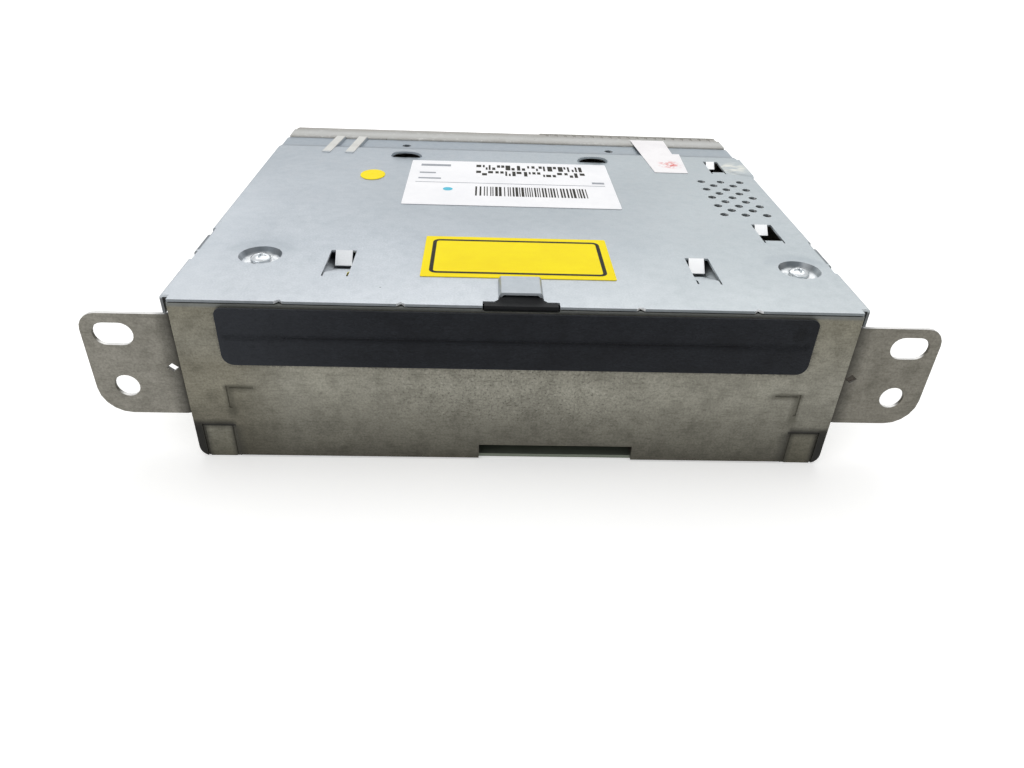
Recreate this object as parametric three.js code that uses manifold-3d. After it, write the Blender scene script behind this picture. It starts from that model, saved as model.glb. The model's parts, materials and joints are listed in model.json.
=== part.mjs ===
// A screenless car navigation head unit with a slot for a disc, as an assembly of separate pieces.
// Millimetres. X runs to the right, Y from the front plate to the rear, Z up from the surface it rests on.
import * as THREE from 'three';
import { mergeVertices } from 'three/addons/utils/BufferGeometryUtils.js';
import Module from 'manifold-3d';

const wasm = await Module();
wasm.setup();

// Driving dimensions that several pieces share
const clearance = 0.3; // between pieces that rest on or pass through each other
const seat = 0.05; // under a screw head or a label, where flat faces all but touch
const overrun = 2; // how far a cut runs past what it cuts
const lap = 0.5; // how far joined solids run into each other
const weld = 1e-5; // vertices nearer than this are one
const disc = { diameter: 120, thickness: 1.2 };
const fineSides = 32;
const roundSides = 24;
const smallSides = 12;
const bendSteps = 3;
const cornerSteps = 5;

// Heights, built up from the floor of the case to the top of the lid
const floorSheet = 1;
const standoffHeight = 5.2;
const boardThickness = 1.6;
const boardPartHeight = 10.4;
const floatTravel = 0.8;
const driveDepth = 13.5;
const lidSpace = 15.1;
const coverSheet = 0.7;
const boardBottom = floorSheet + standoffHeight + clearance;
const boardTop = boardBottom + boardThickness;
const partBottom = boardTop + clearance;
const driveBottom = partBottom + boardPartHeight + floatTravel + 2 * clearance;
const deckTop = driveBottom + driveDepth;
const coverUnder = deckTop + lidSpace;
const coverTop = coverUnder + coverSheet;

// Depths, built up from the face of the front plate to the fins at the rear
const panelSheet = 1;
const driveFrontSpace = 5;
const discFrontSpace = 4;
const discRearSpace = 1.8;
const driveSheet = 1.2;
const ledgeSpace = 1;
const ledgeLength = 13.4;
const driveFront = panelSheet + driveFrontSpace;
const spindleY = driveFront + discFrontSpace + disc.diameter / 2;
const driveRear = spindleY + disc.diameter / 2 + discRearSpace + driveSheet;
const ledgeStart = driveRear + ledgeSpace;
const ledgeEnd = ledgeStart + ledgeLength;
const sinkFront = ledgeEnd + clearance;

// Widths, built up from the disc to the side flanges of the lid
const discSideSpace = 12.8;
const damperBay = 14;
const caseSheet = 1;
const bracketSheet = 1.1;
const driveInnerHalf = disc.diameter / 2 + discSideSpace;
const driveHalf = driveInnerHalf + driveSheet;
const caseInnerHalf = driveHalf + damperBay;
const caseHalf = caseInnerHalf + caseSheet;
const bracketInner = caseHalf + clearance;
const bracketOuter = bracketInner + bracketSheet;
const coverHalf = bracketOuter + clearance + coverSheet;

// Finishes
const looks = {
  lid: { color: 0xc3ccd6, roughness: 0.42, metalness: 0.8 },
  galvanised: { color: 0x8b867b, roughness: 0.5, metalness: 0.8 },
  castAluminium: { color: 0xb3b0a6, roughness: 0.55, metalness: 0.85 },
  brightSteel: { color: 0xd6d8da, roughness: 0.3, metalness: 0.95 },
  felt: { color: 0x26282d, roughness: 0.95, metalness: 0 },
  blackPlastic: { color: 0x16181b, roughness: 0.6, metalness: 0 },
  greyPlastic: { color: 0x6a6d70, roughness: 0.6, metalness: 0 },
  whitePlastic: { color: 0xe4e2da, roughness: 0.5, metalness: 0 },
  whiteLabel: { color: 0xf2f3f5, roughness: 0.4, metalness: 0 },
  yellowLabel: { color: 0xf5e21e, roughness: 0.4, metalness: 0 },
  circuitBoard: { color: 0x1f5a36, roughness: 0.5, metalness: 0 },
  chip: { color: 0x202224, roughness: 0.6, metalness: 0 },
  rubber: { color: 0x1d1d1f, roughness: 0.9, metalness: 0 },
  copper: { color: 0xb56a3a, roughness: 0.45, metalness: 0.8 },
  lens: { color: 0x8ea6c8, roughness: 0.1, metalness: 0 },
  flex: { color: 0xb98a3c, roughness: 0.5, metalness: 0 },
};

// Turns a closed three.js geometry into a solid, with its faces pointing out
function solidOf(geometry) {
  geometry.deleteAttribute('normal');
  geometry.deleteAttribute('uv');
  const merged = mergeVertices(geometry, weld);
  const place = merged.attributes.position;
  const corners = [0, 1, 2].map(() => new THREE.Vector3());
  const kept = [];
  let volume = 0;
  for (let at = 0; at < merged.index.count; at += 3) {
    const face = [0, 1, 2].map((step) => merged.index.getX(at + step));
    if (new Set(face).size < 3) continue;
    corners.forEach((corner, step) => corner.fromBufferAttribute(place, face[step]));
    volume += corners[0].dot(corners[1].clone().cross(corners[2]));
    kept.push(face);
  }
  const faces = volume < 0 ? kept.map((face) => [face[0], face[2], face[1]]) : kept;
  return new wasm.Manifold(new wasm.Mesh({
    numProp: 3,
    vertProperties: Float32Array.from(place.array),
    triVerts: Uint32Array.from(faces.flat()),
  }));
}

// A box between two values on each axis
function block(x, y, z) {
  const geometry = new THREE.BoxGeometry(x[1] - x[0], y[1] - y[0], z[1] - z[0]);
  geometry.translate((x[0] + x[1]) / 2, (y[0] + y[1]) / 2, (z[0] + z[1]) / 2);
  return solidOf(geometry);
}

const bases = {
  x: [new THREE.Vector3(0, 1, 0), new THREE.Vector3(0, 0, 1), new THREE.Vector3(1, 0, 0)],
  y: [new THREE.Vector3(1, 0, 0), new THREE.Vector3(0, 0, 1), new THREE.Vector3(0, -1, 0)],
  z: [new THREE.Vector3(1, 0, 0), new THREE.Vector3(0, 1, 0), new THREE.Vector3(0, 0, 1)],
};

// An outline extruded along one axis. Along x the outline is (y, z), along y (x, z) and along z (x, y)
function prism(axis, outline, from, to, holes = []) {
  const shape = new THREE.Shape(outline.map((point) => new THREE.Vector2(...point)));
  shape.holes = holes.map((hole) => new THREE.Path(hole.map((point) => new THREE.Vector2(...point))));
  const geometry = new THREE.ExtrudeGeometry(shape, { depth: to - from, bevelEnabled: false });
  geometry.applyMatrix4(new THREE.Matrix4().makeBasis(...bases[axis]));
  const start = axis === 'y' ? -to : from;
  geometry.translate(...bases[axis][2].clone().multiplyScalar(start).toArray());
  return solidOf(geometry);
}

// A profile of [radius, height] points turned about an axis through (u, v)
function turned(axis, u, v, profile, sides) {
  const geometry = new THREE.LatheGeometry(profile.map((point) => new THREE.Vector2(...point)), sides);
  geometry.rotateX(Math.PI / 2);
  const basis = axis === 'x' ? bases.x : bases.z;
  if (axis !== 'y') geometry.applyMatrix4(new THREE.Matrix4().makeBasis(...basis));
  if (axis === 'y') geometry.rotateX(-Math.PI / 2);
  const centre = { x: [0, u, v], y: [u, 0, v], z: [u, v, 0] }[axis];
  geometry.translate(...centre);
  return solidOf(geometry);
}

// A plain cylinder between two values on its axis
function cylinder(axis, u, v, radius, from, to, sides = roundSides) {
  return turned(axis, u, v, [[0, from], [radius, from], [radius, to], [0, to]], sides);
}

function arc(u, v, radius, start, end, steps) {
  const points = [];
  for (let step = 0; step <= steps; step += 1) {
    const angle = start + ((end - start) * step) / steps;
    points.push([u + radius * Math.cos(angle), v + radius * Math.sin(angle)]);
  }
  return points;
}

function rectangle(u, v) {
  return [[u[0], v[0]], [u[1], v[0]], [u[1], v[1]], [u[0], v[1]]];
}

function roundedRectangle(u, v, radius, topRadius = radius) {
  return [
    ...arc(u[1] - radius, v[0] + radius, radius, -Math.PI / 2, 0, cornerSteps),
    ...arc(u[1] - topRadius, v[1] - topRadius, topRadius, 0, Math.PI / 2, cornerSteps),
    ...arc(u[0] + topRadius, v[1] - topRadius, topRadius, Math.PI / 2, Math.PI, cornerSteps),
    ...arc(u[0] + radius, v[0] + radius, radius, Math.PI, 1.5 * Math.PI, cornerSteps),
  ];
}

function circle(u, v, radius, sides) {
  return arc(u, v, radius, 0, 2 * Math.PI, sides).slice(0, sides);
}

function spread(centre, size) {
  return [centre - size / 2, centre + size / 2];
}

function mirrored(side, from, to) {
  return side > 0 ? [from, to] : [-to, -from];
}

function joined(...solids) {
  return solids.reduce((sum, solid) => sum.add(solid));
}

function cutFrom(solid, ...tools) {
  return tools.reduce((rest, tool) => rest.subtract(tool), solid);
}

const unit = new THREE.Group();
const driveGroup = new THREE.Group();
driveGroup.position.set(0, spindleY, deckTop);
unit.add(driveGroup);

// Adds a solid to a group as a named mesh with a material of its own
function add(parent, name, solid, look) {
  const mesh = solid.getMesh();
  const geometry = new THREE.BufferGeometry();
  geometry.setAttribute('position', new THREE.BufferAttribute(mesh.vertProperties, 3));
  geometry.setIndex(new THREE.BufferAttribute(mesh.triVerts, 1));
  geometry.computeVertexNormals();
  const part = new THREE.Mesh(geometry, new THREE.MeshStandardMaterial(looks[look]));
  part.name = name;
  parent.add(part);
  return part;
}

// Screws: a domed head with a cross recess on a plain shank. The head's underside is at height 0
const screw = {
  shank: 1.35, head: 2.9, rim: 0.7, shoulder: 2.3, shoulderHeight: 1.3, crown: 1.2, height: 1.6,
  recessLength: 3.2, recessWidth: 0.7, recessDepth: 0.9,
};
const screwHole = screw.shank + clearance;

function screwSolid(length) {
  const body = turned('z', 0, 0, [
    [0, -length], [screw.shank, -length], [screw.shank, 0], [screw.head, 0], [screw.head, screw.rim],
    [screw.shoulder, screw.shoulderHeight], [screw.crown, screw.height], [0, screw.height],
  ], smallSides);
  const depth = [screw.height - screw.recessDepth, screw.height + overrun];
  const long = spread(0, screw.recessLength);
  const short = spread(0, screw.recessWidth);
  return cutFrom(body, block(long, short, depth), block(short, long, depth));
}

// Screws that hold the lid stand in dimples over shelves of the case
const dimple = { drop: 1.6, flat: 5.2, rim: 6 };
const leftScrew = { inset: 15.6, setback: 28 };
const rightScrew = { inset: 7.4, setback: 26.2 };
const lidScrews = [
  { name: 'cover_screw_left', side: -1, x: -(caseInnerHalf - leftScrew.inset), y: leftScrew.setback },
  { name: 'cover_screw_right', side: 1, x: caseInnerHalf - rightScrew.inset, y: rightScrew.setback },
];
const lidScrewGrip = 2.6;
for (const place of lidScrews) {
  const part = add(unit, place.name, screwSolid(lidScrewGrip), 'brightSteel');
  part.position.set(place.x, place.y, coverTop - dimple.drop + seat);
}

// Brackets: an arm screwed to the case wall and an ear bent out of it
const bracket = {
  front: 2.6, armLength: 59, bottom: 12.8, height: 31, reach: 24.6, innerBend: 0.8,
  topCorner: 5, bottomCorner: 8,
  slotLength: 10.5, slotWidth: 6.6, slotInset: 8.2, slotDrop: 6.1,
  hole: 3.3, holeInset: 8.3, holeRise: 8.9,
  reliefWidth: 3.2, reliefHeight: 2.6, reliefRise: 14.9,
};
const armScrew = { rise: 8.7, front: 21.4, rear: 49.4, throughWall: 2 };
const earTop = bracket.bottom + bracket.height;
const earOuter = bracketInner + bracket.reach;

function bracketSolid(side) {
  const outerBend = bracket.innerBend + bracketSheet;
  const back = bracket.front + bracketSheet;
  const rear = bracket.front + bracket.armLength;
  const earRoot = bracketInner + outerBend;
  const turnX = bracketOuter + bracket.innerBend;
  const turnY = back + bracket.innerBend;
  const plan = [
    [earRoot + lap, bracket.front], [earRoot + lap, back],
    ...arc(turnX, turnY, bracket.innerBend, 1.5 * Math.PI, Math.PI, bendSteps),
    [bracketOuter, rear], [bracketInner, rear],
    ...arc(earRoot, bracket.front + outerBend, outerBend, Math.PI, 1.5 * Math.PI, bendSteps),
  ];
  const arm = prism('z', plan.map(([x, y]) => [side * x, y]), bracket.bottom, earTop);
  const topArc = [earOuter - bracket.topCorner, earTop - bracket.topCorner];
  const bottomArc = [earOuter - bracket.bottomCorner, bracket.bottom + bracket.bottomCorner];
  const earOutline = [
    [earRoot, bracket.bottom],
    ...arc(...bottomArc, bracket.bottomCorner, -Math.PI / 2, 0, cornerSteps),
    ...arc(...topArc, bracket.topCorner, 0, Math.PI / 2, cornerSteps),
    [earRoot, earTop],
  ];
  const ear = prism('y', earOutline.map(([x, z]) => [side * x, z]), bracket.front, back);
  const slotX = side * (earOuter - bracket.slotInset);
  const slotZ = earTop - bracket.slotDrop;
  const slot = roundedRectangle(spread(slotX, bracket.slotLength), spread(slotZ, bracket.slotWidth),
    bracket.slotWidth / 2 - seat);
  const holeX = side * (earOuter - bracket.holeInset);
  const hole = circle(holeX, bracket.bottom + bracket.holeRise, bracket.hole, roundSides);
  const reliefX = side * (earRoot + bracketSheet);
  const reliefZ = bracket.bottom + bracket.reliefRise;
  const relief = [
    [reliefX - bracket.reliefWidth / 2, reliefZ], [reliefX, reliefZ - bracket.reliefHeight / 2],
    [reliefX + bracket.reliefWidth / 2, reliefZ], [reliefX, reliefZ + bracket.reliefHeight / 2],
  ];
  const tools = [slot, hole].map(
    (outline) => prism('y', outline, bracket.front - overrun, back + overrun));
  const reliefEnd = side < 0 ? back + overrun : bracket.front + bracketSheet / 2;
  tools.push(prism('y', relief, bracket.front - overrun, reliefEnd));
  const screwHoles = [armScrew.front, armScrew.rear].map((along) => cylinder('x', bracket.front + along,
    bracket.bottom + armScrew.rise, screwHole, -coverHalf - overrun, coverHalf + overrun, smallSides));
  return cutFrom(arm.add(ear), ...tools, ...screwHoles);
}

for (const side of [-1, 1]) {
  const hand = side < 0 ? 'left' : 'right';
  add(unit, `${hand}_bracket`, bracketSolid(side), 'galvanised');
  const grip = bracketSheet + clearance + caseSheet + armScrew.throughWall;
  for (const end of ['front', 'rear']) {
    const part = add(unit, `bracket_screw_${hand}_${end}`, screwSolid(grip), 'brightSteel');
    part.rotation.y = (side * Math.PI) / 2;
    part.position.set(side * (bracketOuter + seat), bracket.front + armScrew[end],
      bracket.bottom + armScrew.rise);
  }
}

// Case: the sizes of the folded tray that the pieces around it follow
const tray = {
  bend: 3, stepBack: 2.4,
  tabFrom: 78.6, tabWidth: 8, tabHeight: 10.4, tabFront: 0.2, tabSheet: 0.8, tabCorner: 0.4,
  shelfWidth: 10, lidShelf: 5, standoff: 2.5, standoffInset: 12, standoffFront: 20, standoffPitch: 60,
};

// Rear sockets: one wide connector and a row of four small ones
const connector = {
  left: 80, width: 44, height: 23.6, length: 21, setback: 9.8, wall: 1.6, bay: 10,
  upperHeight: 8.6, lowerHeight: 9.6, gap: 1.4, pin: 0.7, pinLength: 5, pinPitch: 5, wide: 8, low: 3,
};
const socket = {
  width: 9, height: 10.4, length: 19, space: 3, pitch: 10.8, count: 4, bay: 6.6, bayDepth: 9,
  post: 1.1, postLength: 5,
};
const connectorRight = -connector.left + connector.width;
const firstSocket = connectorRight + socket.space + socket.width / 2;

// Heat sink: a cast wall behind the case, with a land along its top and fins behind its right half
const sink = {
  wall: 3.5, landLength: 9.3, landThickness: 2.6, landDrop: 0.2, landOverhang: 1.2, length: 16.9,
  lipDrop: 1.1, lipSlope: 2, lipSetback: 0.3, lipEdge: 0.7, edge: 0.5,
  finPitch: 3.9, finThickness: 2.9, finCount: 20, finFoot: 3,
  corner: 3, cutMargin: 1.2, screwRise: 22, screwDepth: 5,
};
const landBottom = coverTop - sink.landDrop - sink.landThickness;
const trayFront = panelSheet + clearance;
const trayRear = sinkFront + sink.wall + sink.landDrop;
const sinkHalf = caseInnerHalf - clearance;
const sinkLandHalf = caseHalf + sink.landOverhang;
const sinkScrew = { y: sinkFront + sink.wall / 2, grip: caseSheet + clearance + sink.screwDepth / 2 };

function heatSink() {
  const landTop = coverTop - sink.landDrop;
  const rear = sinkFront + sink.length;
  const foot = floorSheet + clearance;
  const wall = prism('y', [
    [-sinkHalf + tray.bend, foot], [sinkHalf - tray.bend, foot], [sinkHalf, foot + tray.bend],
    [sinkHalf, landBottom + lap], [-sinkHalf, landBottom + lap], [-sinkHalf, foot + tray.bend],
  ], sinkFront, sinkFront + sink.wall);
  const lipTop = coverTop - sink.lipDrop;
  const slopeFrom = sinkFront + sink.landLength;
  const lipRear = rear - sink.lipSetback;
  const finsFrom = sinkLandHalf - sink.finThickness - (sink.finCount - 1) * sink.finPitch;
  const slopeTo = slopeFrom + sink.lipSlope;
  const slope = [
    [slopeTo, lipTop], [slopeFrom, landTop], [sinkFront + sink.edge, landTop],
    [sinkFront, landTop - sink.edge],
  ];
  const land = prism('x', [[sinkFront, landBottom], [slopeTo, landBottom], ...slope], -sinkLandHalf,
    sinkLandHalf);
  const lip = prism('x', [
    [sinkFront, landBottom], [lipRear, landBottom],
    [lipRear, lipTop - sink.lipEdge], [lipRear - sink.lipEdge, lipTop], ...slope,
  ], -sinkLandHalf, finsFrom + lap);
  const through = [sinkFront - overrun, rear + overrun];
  const cutBottom = partBottom - sink.cutMargin;
  const cuts = [
    block([-connector.left - sink.cutMargin, connectorRight + sink.cutMargin], through,
      [cutBottom, partBottom + connector.height + sink.cutMargin]),
    block([connectorRight, firstSocket + (socket.count - 0.5) * socket.pitch + clearance], through,
      [cutBottom, partBottom + socket.height + sink.cutMargin]),
  ];
  const fins = [];
  for (let index = 0; index < sink.finCount; index += 1) {
    const x = finsFrom + index * sink.finPitch;
    const bottom = x + sink.finThickness > sinkHalf ? landBottom : sink.finFoot;
    fins.push(block([x, x + sink.finThickness], [sinkFront + sink.wall - lap, rear], [bottom, lipTop]));
  }
  const outline = prism('z', roundedRectangle([-sinkLandHalf, sinkLandHalf],
    [sinkFront - sink.corner - lap, rear], sink.corner), floorSheet, coverTop);
  const screwHoles = cylinder('x', sinkScrew.y, sink.screwRise, screwHole,
    sinkHalf - sink.screwDepth, sinkHalf + overrun, smallSides);
  const mirroredHoles = cylinder('x', sinkScrew.y, sink.screwRise, screwHole,
    -sinkHalf - overrun, -sinkHalf + sink.screwDepth, smallSides);
  const body = joined(wall, land, lip, ...fins);
  return cutFrom(body, ...cuts, screwHoles, mirroredHoles).intersect(outline);
}

add(unit, 'rear_heat_sink', heatSink(), 'castAluminium');
for (const side of [-1, 1]) {
  const part = add(unit, `heat_sink_screw_${side < 0 ? 'left' : 'right'}`, screwSolid(sinkScrew.grip),
    'brightSteel');
  part.rotation.y = (side * Math.PI) / 2;
  part.position.set(side * (caseHalf + seat), sinkScrew.y, sink.screwRise);
}

// Lid: a shallow inverted tray with its details pressed and cut in one sheet
const ledgeDrop = 0.9;
const joggle = 1.5;
const ledgeCurve = 6.9;
// The ledge's bend: how far along it and how far down, as shares of its length and of its drop
const ledgeShares = [[0.22, 0.2], [0.4, 0.6], [0.65, 0.9], [1, 1]];
const lid = {
  flange: 5.3, bend: 0.9, cornerSetback: 2.5, cornerWidth: 0.2,
  tabLength: 10.1, tabDepth: 14.5, tabFrom: 30.6, reliefLength: 5.5, reliefReach: 1.2, reliefGap: 0.8,
  edgeNotchWidth: 2.2, edgeNotchDepth: 1.2, edgeNotchPitch: 30.6,
};
const vent = { radius: 1.45, pitch: 7.2, rowPitch: 4.18, rows: 9, sideInset: 7.2, rearInset: 45 };
const hood = { baseHalf: 5.9, topHalf: 5.5, edge: 0.4, rise: 1.8, front: 4, length: 11, tail: 1.1 };
const bulge = { radius: 11.2, rise: 0.4, slope: 1.2, outset: 1.9, setback: 14.2 };
const catchSize = {
  barHalf: 9.6, barDepth: 2.2, barFront: 0.1, notchDepth: 0.7, thickness: 1.3,
  stemRise: 0.8, stemHalf: 5.6, stemLength: 8, fillet: 1, hookHalf: 8, hookDepth: 4.2, hookDrop: 4.4,
};
// Hooks: where each window's middle lies across the lid and its front along it, as shares
const hookShares = [[-0.544, 0.115], [0.57, 0.115], [0.871, 0.34], [0.864, 0.836]];
// The front two have a long spring tongue and the others a short flap. Their bends lie this far along and
// this far down, as shares of the hook's length and of the tongue's drop
const tongueShares = [[0.12, 0], [0.8, 1], [1.5, 1]];
const flapShares = [[0.12, 0], [0.17, 0.12]];
// For each hook: its width, length and depth as shares of the largest, and its tongue or flap
const hookSizeShares = [
  [1, 1, 1, tongueShares], [0.96, 1, 1, tongueShares], [0.9, 0.88, 0.8, flapShares],
  [0.78, 0.87, 0.7, flapShares],
];
const hook = {
  width: 7.2, length: 17.2, sideGap: 1.2, drop: 3.2, run: 3.5, tongueGap: 0.5, tongueDrop: 4.2,
};
const louvre = { width: 12, rise: 1.9, lip: 1.2, setback: 11.1, spotRadius: 1.7, spotSetback: 6 };
// The louvre's dome: how far out and how far up its bends lie, as shares of its radius and of its rise
const louvreDomeShares = [[1, 0], [0.93, 0.42], [0.77, 0.72], [0.5, 0.93], [0, 1]];
// Louvres and the holes behind them: how far their middles lie across the lid, as shares of its half width
const louvreShares = [[-0.44, -0.457], [0.348, 0.442]];
const rib = {
  width: 4.2, slope: 0.5, rise: 0.3, fromX: 19.9, lean: 2.4, front: 8.6, rear: 13.3, pitch: 8.9,
};

function channel(half, top, bottom, sheet, bend) {
  const inner = half - sheet;
  return [
    [-half, bottom], [-inner, bottom], [-inner, top - sheet],
    [inner, top - sheet], [inner, bottom], [half, bottom],
    ...arc(half - bend, top - bend, bend, 0, Math.PI / 2, bendSteps),
    ...arc(-half + bend, top - bend, bend, Math.PI / 2, Math.PI, bendSteps),
  ];
}

// The catch seen from above: a bar that narrows to a stem. The lid's cut follows it with a gap
function catchPlan(gap) {
  const { barHalf, barDepth, stemHalf, fillet } = catchSize;
  const front = gap > 0 ? -overrun : catchSize.barFront;
  const rear = hood.front - clearance + gap;
  const right = [
    [barHalf + gap, front], [barHalf + gap, barDepth + gap], [stemHalf + fillet + gap, barDepth + gap],
    [stemHalf + gap, barDepth + fillet + gap], [stemHalf + gap, rear],
  ];
  return [...right, ...right.map(([x, y]) => [-x, y]).reverse()];
}

function hookSolid(centreX, front, length, width, depthShare, bendShares) {
  const rear = front + length;
  const x = spread(centreX, width - 2 * hook.sideGap);
  const [run, drop] = [hook.run * depthShare, hook.drop * depthShare];
  const slant = Math.hypot(run, drop);
  const [backY, backZ] = [(coverSheet * drop) / slant, (coverSheet * run) / slant];
  const fold = (coverSheet * (slant - run)) / drop;
  const tab = prism('x', [
    [rear + lap, coverTop], [rear, coverTop], [rear - run, coverTop - drop],
    [rear - run + backY, coverTop - drop - backZ], [rear + fold, coverUnder], [rear + lap, coverUnder],
  ], ...x);
  const top = [[front - lap, coverTop], ...bendShares.map(
    ([along, down]) => [front + length * along, coverTop - hook.tongueDrop * down])];
  const under = top.map(([y, z]) => [y, z - coverSheet]).reverse();
  const tongue = prism('x', [...top, ...under], ...spread(centreX, width - 2 * hook.tongueGap));
  return tab.add(tongue);
}

function louvreDome(x, front, inset, floor) {
  const radius = louvre.width / 2 - inset;
  const shell = louvreDomeShares.map(([out, up]) => [radius * out, coverTop + louvre.rise * up - inset]);
  return turned('z', x, front, [[0, floor], [radius, floor], ...shell], fineSides);
}

function louvreSolid(x, front) {
  const behind = block(spread(x, louvre.width + 2 * lap), [front, ledgeStart + overrun],
    [coverUnder, coverTop + 2 * louvre.rise]);
  return cutFrom(louvreDome(x, front, 0, coverUnder).intersect(behind),
    louvreDome(x, front, coverSheet, coverUnder - overrun));
}

function ribSolid(index) {
  const rise = ledgeDrop + rib.rise;
  const x = -coverHalf + rib.fromX + index * rib.pitch;
  const from = new THREE.Vector2(x, ledgeStart - rib.front);
  const to = new THREE.Vector2(x + rib.lean, ledgeStart + rib.rear);
  const along = to.clone().sub(from);
  const half = rib.width / 2;
  const section = [[-half, 0], [half, 0], [half - rib.slope, rise], [-half + rib.slope, rise]];
  const shape = new THREE.Shape(section.map((point) => new THREE.Vector2(...point)));
  const geometry = new THREE.ExtrudeGeometry(shape, { depth: along.length(), bevelEnabled: false });
  geometry.applyMatrix4(new THREE.Matrix4().makeBasis(...bases.y));
  geometry.rotateZ(Math.atan2(along.y, along.x) + Math.PI / 2);
  geometry.translate(from.x, from.y, coverTop - ledgeDrop);
  return solidOf(geometry);
}

// A shallow rounded swelling at the right edge of the lid
function bulgeSolid() {
  const dome = turned('z', coverHalf + bulge.outset, ledgeStart - bulge.setback, [
    [0, coverUnder], [bulge.radius, coverUnder], [bulge.radius, coverTop],
    [bulge.radius - bulge.slope, coverTop + bulge.rise], [0, coverTop + bulge.rise],
  ], fineSides);
  return dome.intersect(block([0, coverHalf], [0, ledgeEnd], [coverUnder, coverTop + overrun]));
}

function topCover() {
  const flangeBottom = coverTop - lid.flange;
  const bendFrom = ledgeStart - joggle;
  const main = prism('y', channel(coverHalf, coverTop, flangeBottom, coverSheet, lid.bend), 0, bendFrom);
  const ledge = prism('y', channel(coverHalf, coverTop - ledgeDrop, flangeBottom, coverSheet, lid.bend),
    bendFrom, ledgeEnd);
  const curve = ledgeShares.map(([along, down]) => [bendFrom + along * ledgeCurve,
    coverTop - down * ledgeDrop]);
  const step = prism('x', [
    [bendFrom - lap, coverTop], [bendFrom, coverTop], ...curve,
    [bendFrom + ledgeCurve, coverUnder - ledgeDrop], [bendFrom, coverUnder - ledgeDrop],
    [bendFrom - lap, coverUnder],
  ], -coverHalf + lid.bend, coverHalf - lid.bend);
  const bodies = [main, ledge, step];
  const cuts = [];
  const above = coverTop + overrun;
  for (const side of [-1, 1]) {
    cuts.push(block(mirrored(side, caseHalf - lid.cornerWidth, coverHalf + overrun),
      [-overrun, lid.cornerSetback],
      [flangeBottom - overrun, above]));
    const tabEnds = [lid.tabFrom - lid.reliefGap - lid.reliefLength,
      lid.tabFrom + lid.tabLength + lid.reliefGap];
    for (const from of tabEnds) {
      cuts.push(block(mirrored(side, coverHalf - lid.reliefReach, coverHalf + overrun),
        [from, from + lid.reliefLength], [flangeBottom - overrun, above]));
    }
    bodies.push(block(mirrored(side, coverHalf - coverSheet, coverHalf),
      [lid.tabFrom, lid.tabFrom + lid.tabLength],
      [coverTop - lid.tabDepth, flangeBottom + lap]));
    for (const step of [1, 2]) {
      const x = side * step * lid.edgeNotchPitch;
      cuts.push(prism('z', [
        [x - lid.edgeNotchWidth / 2, -overrun], [x + lid.edgeNotchWidth / 2, -overrun],
        [x + lid.edgeNotchWidth / 2, 0], [x, lid.edgeNotchDepth], [x - lid.edgeNotchWidth / 2, 0],
      ], coverUnder - overrun, above));
    }
  }
  for (let row = 0; row < vent.rows; row += 1) {
    const count = row % 2 === 0 ? 3 : 2;
    const inset = vent.sideInset + (row % 2 === 0 ? 0 : vent.pitch / 2);
    for (let index = 0; index < count; index += 1) {
      const x = coverHalf - inset - index * vent.pitch;
      const y = ledgeEnd - vent.rearInset - row * vent.rowPitch;
      cuts.push(cylinder('z', x, y, vent.radius, coverUnder - overrun, above, smallSides));
    }
  }
  const details = [];
  for (const place of lidScrews) {
    cuts.push(cylinder('z', place.x, place.y, dimple.rim, coverUnder - overrun, above));
    const low = coverTop - dimple.drop;
    details.push(turned('z', place.x, place.y, [
      [screwHole, low], [dimple.flat, low], [dimple.rim, coverTop], [dimple.rim + lap, coverTop],
      [dimple.rim + lap, coverUnder], [dimple.flat + lap, low - coverSheet], [screwHole, low - coverSheet],
      [screwHole, low],
    ], roundSides));
  }
  hookShares.forEach(([across, along], index) => {
    const x = across * coverHalf;
    const front = along * ledgeStart;
    const [widthShare, lengthShare, depthShare, bendShares] = hookSizeShares[index];
    const [width, length] = [hook.width * widthShare, hook.length * lengthShare];
    cuts.push(block(spread(x, width), [front, front + length], [coverUnder - overrun, above]));
    details.push(hookSolid(x, front, length, width, depthShare, bendShares));
  });
  for (const [share, spotShare] of louvreShares) {
    const x = share * coverHalf;
    const front = ledgeStart - louvre.setback;
    const radius = louvre.width / 2 - coverSheet;
    const mouth = block(spread(x, louvre.width), [front - louvre.lip, ledgeStart],
      [coverUnder - overrun, above]);
    cuts.push(cylinder('z', x, front, radius, coverUnder - overrun, above, fineSides).intersect(mouth));
    cuts.push(cylinder('z', spotShare * coverHalf, ledgeStart + louvre.spotSetback, louvre.spotRadius,
      coverUnder - overrun, above, smallSides));
    details.push(louvreSolid(x, front));
  }
  details.push(bulgeSolid());
  const hoodRear = hood.front + hood.length;
  const section = (inset, bottom) => [
    [-hood.baseHalf + inset, bottom], [hood.baseHalf - inset, bottom], [hood.baseHalf - inset, coverTop],
    [hood.topHalf - inset, coverTop + hood.rise - hood.edge - inset],
    [hood.topHalf - inset - hood.edge, coverTop + hood.rise - inset],
    [-hood.topHalf + inset + hood.edge, coverTop + hood.rise - inset],
    [-hood.topHalf + inset, coverTop + hood.rise - hood.edge - inset], [-hood.baseHalf + inset, coverTop],
  ];
  const hoodCut = prism('y', section(coverSheet, coverUnder - overrun), hood.front - overrun,
    hoodRear - hood.tail - coverSheet);
  const hoodBody = prism('y', section(0, coverUnder), hood.front, hoodRear);
  const hoodTail = prism('x', [
    [hoodRear - hood.tail, coverTop + hood.rise], [hoodRear + overrun, coverTop + hood.rise],
    [hoodRear + overrun, coverTop - seat], [hoodRear, coverTop - seat],
  ], -coverHalf, coverHalf);
  details.push(cutFrom(hoodBody, hoodTail));
  const notch = prism('z', catchPlan(clearance), coverUnder - overrun, above);
  const sheet = cutFrom(joined(...bodies), ...cuts);
  const ribs = [0, 1].map(ribSolid);
  return cutFrom(joined(sheet, ...details, ...ribs), hoodCut, notch);
}

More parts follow.
